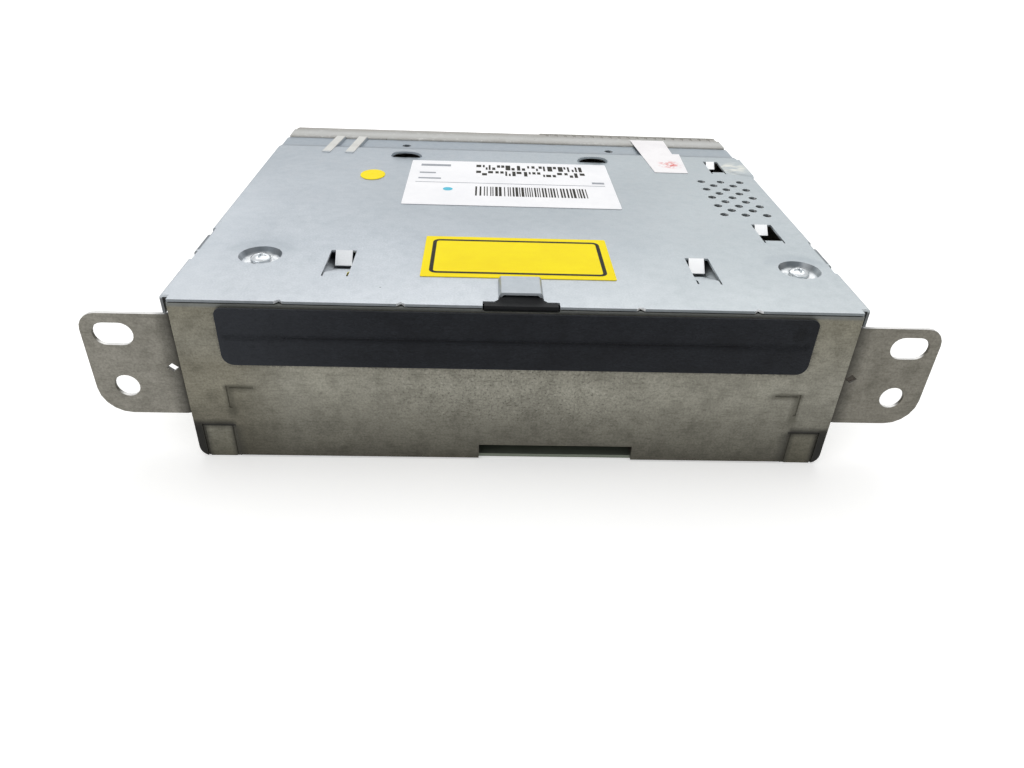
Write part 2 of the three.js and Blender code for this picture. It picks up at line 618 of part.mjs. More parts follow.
add(unit, 'top_cover', topCover(), 'lid');

// Front plate: the disc slot, the bottom slot, notches for the case's corner tabs and two shallow marks
const slotHeight = 4.2;
const slotSideSpace = 2;
const slotWidth = disc.diameter + 2 * slotSideSpace;
const slotRise = 5.9;
const slotZ = deckTop + slotRise;
const panel = {
  bottom: 0.4, corner: 3, notchFrom: 77.7, notchTop: 11.1, slotLeft: 10.3, slotRight: 33.6, slotTop: 5.1,
  markDepth: 0.25, markWidth: 0.8, markArm: 7.2, markInset: 10.6, markHeight: 23.9,
  returnDepth: 8, returnBottom: 13, returnTopDrop: 3,
};

function frontPanel() {
  const top = coverUnder - clearance;
  const notchTo = tray.tabFrom + tray.tabWidth + clearance;
  const corner = [
    ...arc(caseHalf - panel.corner, panel.corner, panel.corner, -Math.PI / 2, 0, cornerSteps),
    [caseHalf, top],
  ];
  const plate = prism('y', [...corner, ...corner.map(([x, z]) => [-x, z]).reverse()], 0, panelSheet,
    [roundedRectangle(spread(0, slotWidth), spread(slotZ, slotHeight), slotHeight / 2 - seat)]);
  const notchHalf = catchSize.barHalf + clearance;
  const cuts = [block([-notchHalf, notchHalf], [-overrun, panelSheet + overrun],
    [top - catchSize.notchDepth, top + overrun])];
  const through = [-overrun, panelSheet + overrun];
  cuts.push(block([-panel.slotLeft, panel.slotRight], through, [-overrun, panel.slotTop]));
  cuts.push(block([-panel.notchFrom - lap, panel.notchFrom + lap], through, [-overrun, panel.bottom]));
  const returns = [];
  for (const side of [-1, 1]) {
    const outer = caseHalf - panel.markInset;
    cuts.push(block(mirrored(side, panel.notchFrom, notchTo), through, [-overrun, panel.notchTop]));
    cuts.push(block(mirrored(side, outer - panel.markArm, outer), [-overrun, panel.markDepth],
      [panel.markHeight - panel.markWidth, panel.markHeight]));
    cuts.push(block(mirrored(side, outer - panel.markWidth, outer), [-overrun, panel.markDepth],
      [panel.markHeight - panel.markArm, panel.markHeight]));
    const inner = caseInnerHalf - clearance;
    returns.push(block(mirrored(side, inner - panelSheet, inner),
      [panelSheet - lap, panelSheet + panel.returnDepth],
      [panel.returnBottom, coverUnder - panel.returnTopDrop]));
  }
  return cutFrom(joined(plate, ...returns), ...cuts);
}

add(unit, 'front_panel', frontPanel(), 'galvanised');

// Dust seal: a felt strip over the disc slot, with a slit that a disc pushes through
const seal = {
  halfWidth: 77.4, top: 47.7, bottom: 31.2, thickness: 1, topCorner: 1.8, corner: 3,
  slit: 0.5, slitHalf: 60.7,
};

function dustSeal() {
  const strip = roundedRectangle([-seal.halfWidth, seal.halfWidth], [seal.bottom, seal.top], seal.corner,
    seal.topCorner);
  const slit = rectangle([-seal.slitHalf, seal.slitHalf], spread(slotZ, seal.slit));
  return prism('y', strip, -clearance - seal.thickness, -clearance, [slit]);
}

add(unit, 'dust_seal', dustSeal(), 'felt');

// Trim catch: a bar in the notch, a stem under the hood and a hook behind the plate
function trimCatch() {
  const low = coverUnder - catchSize.notchDepth;
  const high = low + catchSize.thickness;
  const stemTop = high + catchSize.stemRise;
  const front = hood.front - clearance;
  const stemRear = hood.front + catchSize.stemLength;
  const side = prism('x', [
    [catchSize.barFront, low], [stemRear, low], [stemRear, stemTop], [front, stemTop],
    [catchSize.barDepth, high], [catchSize.barFront, high],
  ], -catchSize.barHalf, catchSize.barHalf);
  const outer = prism('z', catchPlan(0), low - lap, stemTop + lap);
  const half = hood.baseHalf - coverSheet - clearance;
  const topHalf = hood.topHalf - coverSheet - hood.edge - clearance;
  const under = prism('y', [
    [-half, low - lap], [half, low - lap], [half, coverTop - lap], [topHalf, stemTop + lap],
    [-topHalf, stemTop + lap], [-half, coverTop - lap],
  ], front - lap, stemRear);
  const hookBody = block([-catchSize.hookHalf, catchSize.hookHalf],
    [trayFront, trayFront + catchSize.hookDepth], [low - catchSize.hookDrop, coverUnder - clearance]);
  return joined(side.intersect(outer), side.intersect(under), hookBody);
}

add(unit, 'trim_catch', trimCatch(), 'blackPlastic');

// Labels on the lid
const labelThickness = 0.15;
const ratingLabel = { width: 73.3, length: 47, front: 71, shift: -0.7 };
const warningLabel = { width: 53.6, length: 27.9, front: 16.2, shift: -0.2 };
const roundLabel = { x: -50.2, y: 99.9, halfWidth: 4.4, halfLength: 5.6 };
const sealLabel = {
  left: 51.2, right: 66.8, front: 111.3, rear: 153.8, lean: 3, tongueWidth: 14.2, shoulder: 24, inset: 2.6,
};

function labelPlate(outline) {
  return prism('z', outline, coverTop + seat, coverTop + seat + labelThickness);
}

for (const [name, size, look] of [
  ['rating_label', ratingLabel, 'whiteLabel'], ['warning_label', warningLabel, 'yellowLabel'],
]) {
  const outline = roundedRectangle(spread(size.shift, size.width), [size.front, size.front + size.length],
    lap);
  add(unit, name, labelPlate(outline), look);
}
const roundOutline = circle(0, 0, 1, roundSides).map(
  ([u, v]) => [roundLabel.x + u * roundLabel.halfWidth, roundLabel.y + v * roundLabel.halfLength]);
add(unit, 'round_label', labelPlate(roundOutline), 'yellowLabel');
add(unit, 'seal_label', labelPlate([
  [sealLabel.left + sealLabel.lean, sealLabel.front], [sealLabel.right, sealLabel.front],
  [sealLabel.right + sealLabel.lean / 2, sealLabel.front + sealLabel.shoulder],
  [sealLabel.right - sealLabel.inset / 2, sealLabel.front + sealLabel.shoulder],
  [sealLabel.left + sealLabel.tongueWidth, sealLabel.rear], [sealLabel.left, sealLabel.rear],
]), 'whiteLabel');

// Case: a folded tray with shelves for the dampers and lid screws, and standoffs for the board
const damper = { radius: 5, bore: 2.4, waist: 4.1, height: 6, reach: 6.5, inset: 7 };
const damperEar = { half: 5, thickness: 1.2, rise: 2.4, stud: 1.4, studLength: 5.1, reach: 10, spreadY: 48 };
const damperTop = deckTop + damperEar.rise - clearance;
const shelfTop = damperTop - damper.height - clearance;
const damperX = driveHalf + damper.inset;
const damperYs = [spindleY - damperEar.spreadY, spindleY + damperEar.spreadY];

function caseTray() {
  const wallTop = coverUnder - clearance;
  const outerLeft = arc(-caseHalf + tray.bend, tray.bend, tray.bend, Math.PI, 1.5 * Math.PI, bendSteps);
  const outerRight = arc(caseHalf - tray.bend, tray.bend, tray.bend, 1.5 * Math.PI, 2 * Math.PI, bendSteps);
  const innerBend = tray.bend - floorSheet;
  const innerRight = arc(caseInnerHalf - innerBend, floorSheet + innerBend, innerBend, 2 * Math.PI,
    1.5 * Math.PI, bendSteps);
  const innerLeft = arc(-caseInnerHalf + innerBend, floorSheet + innerBend, innerBend, 1.5 * Math.PI,
    Math.PI, bendSteps);
  const section = [[-caseHalf, wallTop], ...outerLeft, ...outerRight, [caseHalf, wallTop],
    [caseInnerHalf, wallTop], ...innerRight, ...innerLeft, [-caseInnerHalf, wallTop]];
  const bodies = [prism('y', section, trayFront, trayRear)];
  const wide = [-coverHalf, coverHalf];
  const cuts = [
    block(wide, [ledgeStart - tray.stepBack, trayRear + overrun], [wallTop - ledgeDrop, coverTop]),
    block(wide, [sinkFront - clearance, trayRear + overrun], [landBottom - clearance, coverTop]),
  ];
  for (const side of [-1, 1]) {
    bodies.push(block(mirrored(side, tray.tabFrom, tray.tabFrom + tray.tabWidth - tray.tabCorner),
      [tray.tabFront, trayFront + lap], [0, floorSheet]));
    const [near, far] = [tray.tabFrom, tray.tabFrom + tray.tabWidth];
    const tab = [[near, 0], [far - tray.tabCorner, 0], [far, tray.tabCorner], [far, tray.tabHeight],
      [near, tray.tabHeight]];
    bodies.push(prism('y', tab.map(([x, z]) => [side * x, z]), tray.tabFront,
      tray.tabFront + tray.tabSheet));
    for (const y of damperYs) {
      bodies.push(block(mirrored(side, caseInnerHalf - tray.shelfWidth - clearance, caseInnerHalf + lap),
        spread(y, tray.shelfWidth + 2 * clearance), [shelfTop - floorSheet, shelfTop]));
    }
    for (const along of [armScrew.front, armScrew.rear]) {
      cuts.push(cylinder('x', bracket.front + along, bracket.bottom + armScrew.rise, screwHole,
        ...mirrored(side, caseInnerHalf - overrun, caseHalf + overrun), smallSides));
    }
    cuts.push(cylinder('x', sinkScrew.y, sink.screwRise, screwHole,
      ...mirrored(side, caseInnerHalf - overrun, caseHalf + overrun), smallSides));
    for (let y = tray.standoffFront; y < sinkFront - tray.standoff; y += tray.standoffPitch) {
      bodies.push(cylinder('z', side * (caseInnerHalf - tray.standoffInset), y, tray.standoff,
        floorSheet - lap, boardBottom - clearance, smallSides));
    }
  }
  const shelfUnder = coverUnder - dimple.drop - clearance;
  for (const place of lidScrews) {
    const reach = Math.abs(place.x) - tray.lidShelf;
    bodies.push(block(mirrored(place.side, reach, caseInnerHalf + lap), spread(place.y, 2 * tray.lidShelf),
      [shelfUnder - floorSheet, shelfUnder]));
    cuts.push(cylinder('z', place.x, place.y, screwHole, shelfUnder - floorSheet - overrun, coverTop,
      smallSides));
  }
  return cutFrom(joined(...bodies), ...cuts);
}

add(unit, 'case_tray', caseTray(), 'galvanised');

// Dampers between the case and the drive
function damperSolid() {
  const groove = damper.height / 3;
  return turned('z', 0, 0, [
    [damper.bore, 0], [damper.radius, 0], [damper.radius, groove], [damper.waist, groove + groove / 4],
    [damper.waist, 2 * groove - groove / 4], [damper.radius, 2 * groove], [damper.radius, damper.height],
    [damper.bore, damper.height], [damper.bore, 0],
  ], roundSides);
}

for (const side of [-1, 1]) {
  damperYs.forEach((y, index) => {
    const part = add(unit, `damper_${index === 0 ? 'front' : 'rear'}_${side < 0 ? 'left' : 'right'}`,
      damperSolid(), 'rubber');
    part.position.set(side * damperX, y, shelfTop + clearance);
  });
}

// Main board and what stands on it
const board = { sideInset: 5, front: 12, rearSpace: 2 };
const spreader = {
  width: 38, length: 38, base: 2.4, finHeight: 6.4, finThickness: 1.4, finPitch: 4.1, x: -28, y: 62,
};
const tuner = { width: 48, length: 30, height: 9.4, x: 46, y: 74, wall: 0.8, rim: 1.6 };
const amplifier = { width: 28, depth: 4.5, height: 18, x: 34 };
const clip = { sheet: 1.1, overhang: 3, height: 4, rise: 8 };
const capacitor = { radius: 5.5, height: 13, edge: 0.8, vent: 0.6, inset: 8, setback: 7, pitch: 12.4 };
const coil = { outer: 8, inner: 3.2, height: 8, x: 66, y: 44 };

const boardHalf = caseInnerHalf - board.sideInset;
add(unit, 'main_board', block([-boardHalf, boardHalf], [board.front, sinkFront - board.rearSpace],
  [boardBottom, boardTop]), 'circuitBoard');

function spreaderSolid() {
  const x = spread(spreader.x, spreader.width);
  const y = spread(spreader.y, spreader.length);
  const base = block(x, y, [partBottom, partBottom + spreader.base]);
  const fins = [];
  for (let from = x[0]; from + spreader.finThickness <= x[1]; from += spreader.finPitch) {
    fins.push(block([from, from + spreader.finThickness], y,
      [partBottom + spreader.base - lap, partBottom + spreader.base + spreader.finHeight]));
  }
  return joined(base, ...fins);
}

add(unit, 'processor_spreader', spreaderSolid(), 'castAluminium');

function tunerSolid() {
  const x = spread(tuner.x, tuner.width);
  const y = spread(tuner.y, tuner.length);
  const can = block(x, y, [partBottom, partBottom + tuner.height]);
  const inner = block([x[0] + tuner.wall, x[1] - tuner.wall], [y[0] + tuner.wall, y[1] - tuner.wall],
    [partBottom - overrun, partBottom + tuner.height - tuner.rim]);
  return cutFrom(can, inner);
}

add(unit, 'tuner_module', tunerSolid(), 'brightSteel');

const chipRear = sinkFront - clearance;
const chipFront = chipRear - amplifier.depth;
add(unit, 'amplifier_chip', block(spread(amplifier.x, amplifier.width), [chipFront, chipRear],
  [partBottom, partBottom + amplifier.height]), 'chip');

function clipSolid() {
  const half = amplifier.width / 2 + clip.overhang;
  const z = [partBottom + clip.rise, partBottom + clip.rise + clip.height];
  const front = chipFront - clearance - clip.sheet;
  const bar = block([amplifier.x - half, amplifier.x + half], [front, front + clip.sheet], z);
  const feet = [-1, 1].map((side) => block(spread(amplifier.x + side * (half - clip.sheet / 2), clip.sheet),
    [front, chipRear], z));
  return joined(bar, ...feet);
}

add(unit, 'amplifier_clip', clipSolid(), 'brightSteel');

for (let index = 0; index < 2; index += 1) {
  const top = capacitor.height;
  const part = add(unit, `filter_capacitor_${index + 1}`, turned('z', 0, 0, [
    [0, 0], [capacitor.radius, 0], [capacitor.radius, top - capacitor.edge],
    [capacitor.radius - capacitor.edge, top], [capacitor.vent, top], [0, top - capacitor.vent / 2],
  ], roundSides), 'chip');
  part.position.set(caseInnerHalf - capacitor.inset - index * capacitor.pitch,
    ledgeEnd - capacitor.setback, partBottom);
}

const coilPart = add(unit, 'power_coil', turned('z', 0, 0, [
  [coil.inner, 0], [coil.outer, 0], [coil.outer, coil.height], [coil.inner, coil.height], [coil.inner, 0],
], smallSides), 'copper');
coilPart.position.set(coil.x, coil.y, partBottom);

// Sockets at the rear edge of the board, reached through the cut in the heat sink
const socketFront = ledgeEnd - connector.setback;

function connectorSolid() {
  const x = [-connector.left, connectorRight];
  const rear = socketFront + connector.length;
  const bottom = partBottom;
  const body = block(x, [socketFront, rear], [bottom, bottom + connector.height]);
  const depth = [rear - connector.bay, rear + overrun];
  const lowZ = [bottom + connector.wall, bottom + connector.wall + connector.lowerHeight];
  const highZ = [lowZ[1] + connector.gap, lowZ[1] + connector.gap + connector.upperHeight];
  const upper = block([x[0] + connector.wall, x[1] - connector.wall], depth, highZ);
  const bayWidth = (connector.width - 2 * connector.wall - 2 * connector.gap) / 3;
  const bays = [0, 1, 2].map((index) => {
    const from = x[0] + connector.wall + index * (bayWidth + connector.gap);
    return block([from, from + bayWidth], depth, lowZ);
  });
  const pins = [];
  const pinY = [depth[0] - lap, depth[0] + connector.pinLength];
  for (let column = 0; column < connector.wide; column += 1) {
    const middle = (x[0] + x[1]) / 2 + (column - (connector.wide - 1) / 2) * connector.pinPitch;
    pins.push(block(spread(middle, connector.pin), pinY, spread((highZ[0] + highZ[1]) / 2, connector.pin)));
  }
  for (let column = 0; column < connector.low; column += 1) {
    const middle = x[0] + connector.wall + bayWidth / 2 + column * (bayWidth + connector.gap);
    for (const side of [-1, 1]) {
      pins.push(block(spread(middle + side * connector.pinPitch / 2, connector.pin), pinY,
        spread((lowZ[0] + lowZ[1]) / 2, connector.pin)));
    }
  }
  return joined(cutFrom(body, upper, ...bays), ...pins);
}

add(unit, 'main_connector', connectorSolid(), 'blackPlastic');

function socketSolid() {
  const body = block(spread(0, socket.width), [0, socket.length], [0, socket.height]);
  const middle = socket.height / 2;
  const depth = [socket.length - socket.bayDepth, socket.length + overrun];
  const bay = block(spread(0, socket.bay), depth, spread(middle, socket.bay));
  const post = cylinder('y', 0, middle, socket.post, depth[0] - lap, depth[0] + socket.postLength,
    smallSides);
  return joined(cutFrom(body, bay), post);
}

const socketNames = ['display_socket', 'data_socket', 'radio_antenna_socket', 'position_antenna_socket'];
socketNames.forEach((name, index) => {
  const look = index < 2 ? 'greyPlastic' : 'whitePlastic';
  const part = add(unit, name, socketSolid(), look);
  part.position.set(firstSocket + index * socket.pitch, socketFront, partBottom);
});

// Disc drive. From here on X and Y are measured from the spindle and Z from the top of the deck
const frame = {
  wallRise: 10.3, wallDrop: 10.2, frontCut: 33, frontCutInset: 2.8, spindleHole: 12, windowFrom: 13,
  windowFront: 25.5, windowRear: 27, windowInset: 0.5, barDepth: 6, barSheet: 1.2,
  postRadius: 2, postDrop: 7.4,
};
const frameFront = driveFront - spindleY;
const frameRear = driveRear - spindleY;
const pin = 1.5;
const pinHole = pin + clearance;
const seatRise = 4.1;
const rods = { radius: 1.5, spreadY: 22, drop: 5.5, from: 8, lugWidth: 6, lugLength: 3.2, lugDrop: 8.5 };
const feed = {
  y: 31, drop: 7.2, screw: 1.6, root: 1.25, from: 5, to: 66, threads: 16,
  motorRadius: 5.5, motorRear: 9.5, motorLength: 23, lug: 2.7, lugHalf: 3, lugDrop: 10,
};
const roller = { radius: 4.5, half: 58, shaft: 1.5, shaftHalf: 69, y: -53, z: 1.3, waistShare: 0.86 };
const pivot = { y: -43, z: -3.2, inner: 60.5 };
const armPivot = { y: 56, z: 9.3, inner: 66 };
const gearFace = { from: 64, width: 3.5 };
const toothSize = 0.5;
const teeth = { roller: 18, upper: 22, lower: 16, pinion: 10 };
const driveBoard = { left: 70, right: 15, front: 18, rear: 52, drop: 7.7 };

function pitchRadius(name) {
  return (toothSize * teeth[name]) / 2;
}

// Where two circles meet, on the side that lies higher
function meeting(a, reachA, b, reachB) {
  const across = new THREE.Vector2(b.y - a.y, b.z - a.z);
  const gap = across.length();
  across.divideScalar(gap);
  const along = (reachA ** 2 - reachB ** 2 + gap ** 2) / (2 * gap);
  const rise = Math.sqrt(reachA ** 2 - along ** 2);
  return { y: a.y + along * across.x - rise * across.y, z: a.z + along * across.y + rise * across.x };
}

const upperIdler = meeting(roller, pitchRadius('roller') + pitchRadius('upper'),
  pivot, pitchRadius('upper') + pitchRadius('lower'));
const loadingMotor = { radius: 5.6, drop: 7.4, from: 34, to: 60, shaft: 0.9 };
const pinionReach = pitchRadius('lower') + pitchRadius('pinion');
const pinionPlace = {
  y: pivot.y + Math.sqrt(pinionReach ** 2 - (loadingMotor.drop + pivot.z) ** 2), z: -loadingMotor.drop,
};

function deckFrame() {
  const x = [-driveHalf, driveHalf];
  const y = [frameFront, frameRear];
  const z = [-frame.wallDrop, frame.wallRise];
  const bodies = [block(x, y, [-driveSheet, 0]), block(x, [frameRear - driveSheet, frameRear], z),
    block(x, [frameFront, frameFront + frame.barDepth],
      [-frame.wallDrop, -frame.wallDrop + frame.barSheet])];
  const through = [-driveSheet - overrun, overrun];
  const cuts = [
    block([-driveInnerHalf + frame.frontCutInset, driveInnerHalf - frame.frontCutInset],
      [frameFront - overrun, -frame.frontCut], through),
    cylinder('z', 0, 0, frame.spindleHole, ...through),
    block([frame.windowFrom, driveInnerHalf - frame.windowInset], [-frame.windowFront, frame.windowRear],
      through),
  ];
  for (const side of [-1, 1]) {
    bodies.push(block(mirrored(side, driveInnerHalf, driveHalf), y, z));
    for (const at of [-damperEar.spreadY, damperEar.spreadY]) {
      bodies.push(block(mirrored(side, driveHalf - lap, driveHalf + damperEar.reach),
        spread(at, 2 * damperEar.half), [damperEar.rise, damperEar.rise + damperEar.thickness]));
      bodies.push(cylinder('z', side * damperX, at, damperEar.stud, damperEar.rise - damperEar.studLength,
        damperEar.rise + lap, smallSides));
    }
    bodies.push(cylinder('x', pivot.y, pivot.z, pin, ...mirrored(side, pivot.inner, driveInnerHalf + lap),
      smallSides));
    bodies.push(cylinder('x', armPivot.y, armPivot.z, pin,
      ...mirrored(side, armPivot.inner, driveInnerHalf + lap), smallSides));
    bodies.push(block([rods.from - clearance - rods.lugLength, rods.from - clearance],
      spread(side * rods.spreadY, rods.lugWidth), [-rods.lugDrop, -driveSheet + lap]));
  }
  bodies.push(cylinder('x', upperIdler.y, upperIdler.z, pin, gearFace.from - clearance,
    driveInnerHalf + lap, smallSides));
  bodies.push(block([feed.to + clearance, feed.to + clearance + feed.lug], spread(feed.y, 2 * feed.lugHalf),
    [-feed.lugDrop, -driveSheet + lap]));
  bodies.push(block([loadingMotor.from + overrun, loadingMotor.to - overrun],
    [pinionPlace.y + loadingMotor.radius + clearance,
      pinionPlace.y + loadingMotor.radius + clearance + rods.lugLength],
    [-frame.wallDrop, -driveSheet + lap]));
  for (const postX of [-driveBoard.left + overrun * 4, -driveBoard.right - overrun * 2]) {
    for (const postY of [-driveBoard.front + overrun * 2, driveBoard.rear - overrun * 3]) {
      bodies.push(cylinder('z', postX, postY, frame.postRadius, -frame.postDrop, -driveSheet + lap,
        smallSides));
    }
  }
  return cutFrom(joined(...bodies), ...cuts);
}

add(driveGroup, 'drive_frame', deckFrame(), 'brightSteel');

// Upper disc guide: the roller presses the disc against it
const guide = {
  rise: 7.3, thickness: 1.4, front: 61, rear: 52.5, middleRear: 45, middleHalf: 58, rib: 1.2, ribRise: 1.4,
};

function upperGuide() {
  const half = driveInnerHalf - clearance;
  const z = [guide.rise, guide.rise + guide.thickness];
  const plate = block([-half, half], [-guide.front, -guide.rear], z);
  const middle = block([-guide.middleHalf, guide.middleHalf], [-guide.rear - lap, -guide.middleRear], z);
  const stiffener = block([-half, half], [-guide.front, -guide.front + guide.rib],
    [z[0], z[1] + guide.ribRise]);
  return joined(plate, middle, stiffener);
}

add(driveGroup, 'upper_disc_guide', upperGuide(), 'blackPlastic');

// Spindle: the motor under the deck and the turntable above it
const spindle = {
  shaft: 1, shaftDepth: 7, boreGap: 0.25,
  motorRadius: 11, motorDepth: 11, flangeRadius: 14, flangeThickness: 1.2,
  tableRadius: 14.5, tableGap: 0.6, coneBase: 7.2, coneTop: 6.2, coneHeight: 1.6, rim: 0.6,
};
add(driveGroup, 'spindle_motor', turned('z', 0, 0, [
  [0, -spindle.motorDepth], [spindle.motorRadius, -spindle.motorDepth],
  [spindle.motorRadius, -driveSheet - clearance - spindle.flangeThickness],
  [spindle.flangeRadius, -driveSheet - clearance - spindle.flangeThickness],
  [spindle.flangeRadius, -driveSheet - clearance],
  [spindle.shaft + spindle.boreGap, -driveSheet - clearance],
  [spindle.shaft + spindle.boreGap, -spindle.shaftDepth - clearance], [0, -spindle.shaftDepth - clearance],
], roundSides), 'brightSteel');
add(driveGroup, 'turntable', turned('z', 0, 0, [
  [0, -spindle.shaftDepth], [spindle.shaft, -spindle.shaftDepth], [spindle.shaft, spindle.tableGap],
  [spindle.tableRadius, spindle.tableGap], [spindle.tableRadius, seatRise],
  [spindle.tableRadius - overrun, seatRise], [spindle.tableRadius - overrun, seatRise - spindle.rim],
  [spindle.coneBase, seatRise - spindle.rim], [spindle.coneBase, seatRise],
  [spindle.coneTop, seatRise + spindle.coneHeight], [0, seatRise + spindle.coneHeight],
], fineSides), 'blackPlastic');

// Clamp: the arm hinges at the rear of the deck and carries a puck that spins with the disc
const clamp = {
  rise: 9.4, plateHalf: 18, plateFront: 16, crossDepth: 8, earSheet: 1.2, earDrop: 4.6, hole: 8.7,
  pinY: 38, pinZ: 6, camPin: 1, leverHalf: 1.9,
};
const puck = {
  radius: 14, bottom: 7.6, thickness: 1.4, neck: 8.2, flange: 11, flangeGap: 0.4, flangeThickness: 1,
  recess: 7.4, recessDepth: 2,
};
const slide = { sheet: 1.2, bottom: 0.3, top: 9.3, front: -48, rear: 44, travel: 8 };
const clampDrop = puck.bottom - seatRise - disc.thickness;
const clampAngle = Math.asin(clampDrop / armPivot.y);
const slideX = [-driveInnerHalf + clearance, -driveInnerHalf + clearance + slide.sheet];
const camPinEnd = -driveInnerHalf + clearance / 2;

function clampArm() {
  const z = [clamp.rise, clamp.rise + driveSheet];
  const outer = armPivot.inner + pin;
  const rear = armPivot.y + 2 * pin;
  const plate = block([-clamp.plateHalf, clamp.plateHalf], [-clamp.plateFront, rear - lap], z);
  const cross = block([-outer, outer], [rear - clamp.crossDepth, rear], z);
  const rightEar = block([outer - clamp.earSheet, outer], [armPivot.y - 2 * pin, rear],
    [z[0] - clamp.earDrop, z[1]]);
  const leftEar = prism('x', [
    [rear, z[1]], [armPivot.y - 2 * pin, z[1]], [clamp.pinY - clamp.leverHalf, clamp.pinZ + clamp.leverHalf],
    [clamp.pinY - clamp.leverHalf, clamp.pinZ - clamp.leverHalf],
    [clamp.pinY + clamp.leverHalf, clamp.pinZ - clamp.leverHalf],
    [rear, z[0] - clamp.earDrop],
  ], -outer, -outer + clamp.earSheet);
  const camPin = cylinder('x', clamp.pinY, clamp.pinZ, clamp.camPin, camPinEnd, -outer + lap, smallSides);
  const hinge = cylinder('x', armPivot.y, armPivot.z, pinHole, -driveHalf, driveHalf, smallSides);
  const middle = block([-armPivot.inner + overrun, armPivot.inner - overrun],
    [armPivot.y - 2 * pin, armPivot.y + 2 * pin], z);
  const hole = cylinder('z', 0, 0, clamp.hole, z[0] - overrun, z[1] + overrun, fineSides);
  return cutFrom(joined(cutFrom(joined(plate, cross, rightEar, leftEar), hinge), middle, camPin), hole);
}

add(driveGroup, 'clamp_arm', clampArm(), 'brightSteel');
const puckFlange = clamp.rise + driveSheet + puck.flangeGap;
add(driveGroup, 'clamp_puck', turned('z', 0, 0, [
  [0, puck.bottom + puck.recessDepth], [puck.recess, puck.bottom + puck.recessDepth],
  [puck.recess, puck.bottom], [puck.radius, puck.bottom],
  [puck.radius, puck.bottom + puck.thickness], [puck.neck, puck.bottom + puck.thickness],
  [puck.neck, puckFlange], [puck.flange, puckFlange], [puck.flange, puckFlange + puck.flangeThickness],
  [0, puckFlange + puck.flangeThickness],
], fineSides), 'whitePlastic');

// Pickup: the sled runs on two rods and a lead screw pushes it
const sled = {
  from: 15, width: 21.5, half: 26, top: 1.8, bottom: 9.5, holderFrom: 18, holderWidth: 12, holderHalf: 8,
  holderTop: 1.6, nutFrom: 20, nutWidth: 9,
};
const lens = { x: 23, radius: 3, height: 1.1 };

function sledSolid() {
  const x = [sled.from, sled.from + sled.width];
  const body = block(x, [-sled.half, sled.half], [-sled.bottom, -sled.top]);
  const holder = block([sled.holderFrom, sled.holderFrom + sled.holderWidth],
    [-sled.holderHalf, sled.holderHalf], [-sled.top - lap, sled.holderTop]);
  const nut = block([sled.nutFrom, sled.nutFrom + sled.nutWidth],
    [sled.half - lap, feed.y - feed.screw - clearance], [-sled.bottom, -rods.drop + rods.radius]);
  const holes = [-1, 1].map((side) => cylinder('x', side * rods.spreadY, -rods.drop, rods.radius + clearance,
    x[0] - overrun, x[1] + overrun, smallSides));
  return cutFrom(joined(body, holder, nut), ...holes);
}

add(driveGroup, 'pickup_sled', sledSolid(), 'greyPlastic');
add(driveGroup, 'objective_lens', turned('z', lens.x, 0, [
  [0, sled.holderTop + seat], [lens.radius, sled.holderTop + seat],
  [lens.radius, sled.holderTop + lens.height / 2],
  [lens.radius / 2, sled.holderTop + lens.height], [0, sled.holderTop + lens.height],
], smallSides), 'lens');
for (const side of [-1, 1]) {
  add(driveGroup, `guide_rod_${side < 0 ? 'front' : 'rear'}`, cylinder('x', side * rods.spreadY, -rods.drop,
    rods.radius, rods.from, driveInnerHalf - clearance, smallSides), 'brightSteel');
}

function leadScrew() {
  const start = feed.motorRear + overrun;
  const pitch = (feed.to - overrun - start) / feed.threads;
  const profile = [[0, feed.from], [feed.root, feed.from], [feed.root, start]];
  for (let thread = 0; thread < feed.threads; thread += 1) {
    profile.push([feed.screw, start + (thread + 0.5) * pitch], [feed.root, start + (thread + 1) * pitch]);
  }
  profile.push([feed.root, feed.to], [0, feed.to]);
  return turned('x', feed.y, -feed.drop, profile, smallSides);
}

add(driveGroup, 'lead_screw', leadScrew(), 'brightSteel');
const motorFront = feed.motorRear - feed.motorLength;
add(driveGroup, 'feed_motor', turned('x', feed.y, -feed.drop, [
  [0, motorFront], [feed.motorRadius, motorFront], [feed.motorRadius, feed.motorRear],
  [feed.root + clearance, feed.motorRear], [feed.root + clearance, feed.from - clearance],
  [0, feed.from - clearance],
], roundSides), 'brightSteel');

// Loading gear: the rubber roller in its swinging bracket, and the gear train that turns it
const sleeveGap = 0.1;
add(driveGroup, 'loading_roller', turned('x', roller.y, roller.z, [
  [roller.shaft + sleeveGap, -roller.half], [roller.radius, -roller.half],
  [roller.radius * roller.waistShare, 0], [roller.radius, roller.half],
  [roller.shaft + sleeveGap, roller.half], [roller.shaft + sleeveGap, -roller.half],
], roundSides), 'rubber');
add(driveGroup, 'roller_shaft', cylinder('x', roller.y, roller.z, roller.shaft,
  -roller.shaftHalf + gearFace.width, roller.shaftHalf, roundSides), 'brightSteel');
const swing = {
  earFrom: 61, earSheet: 1.2, plateBottom: -5, plateFront: -56, plateRear: -46, sheet: 1, margin: 3,
  camY: -35, camZ: 3.3,
};
const swingAngle = THREE.MathUtils.degToRad(13);

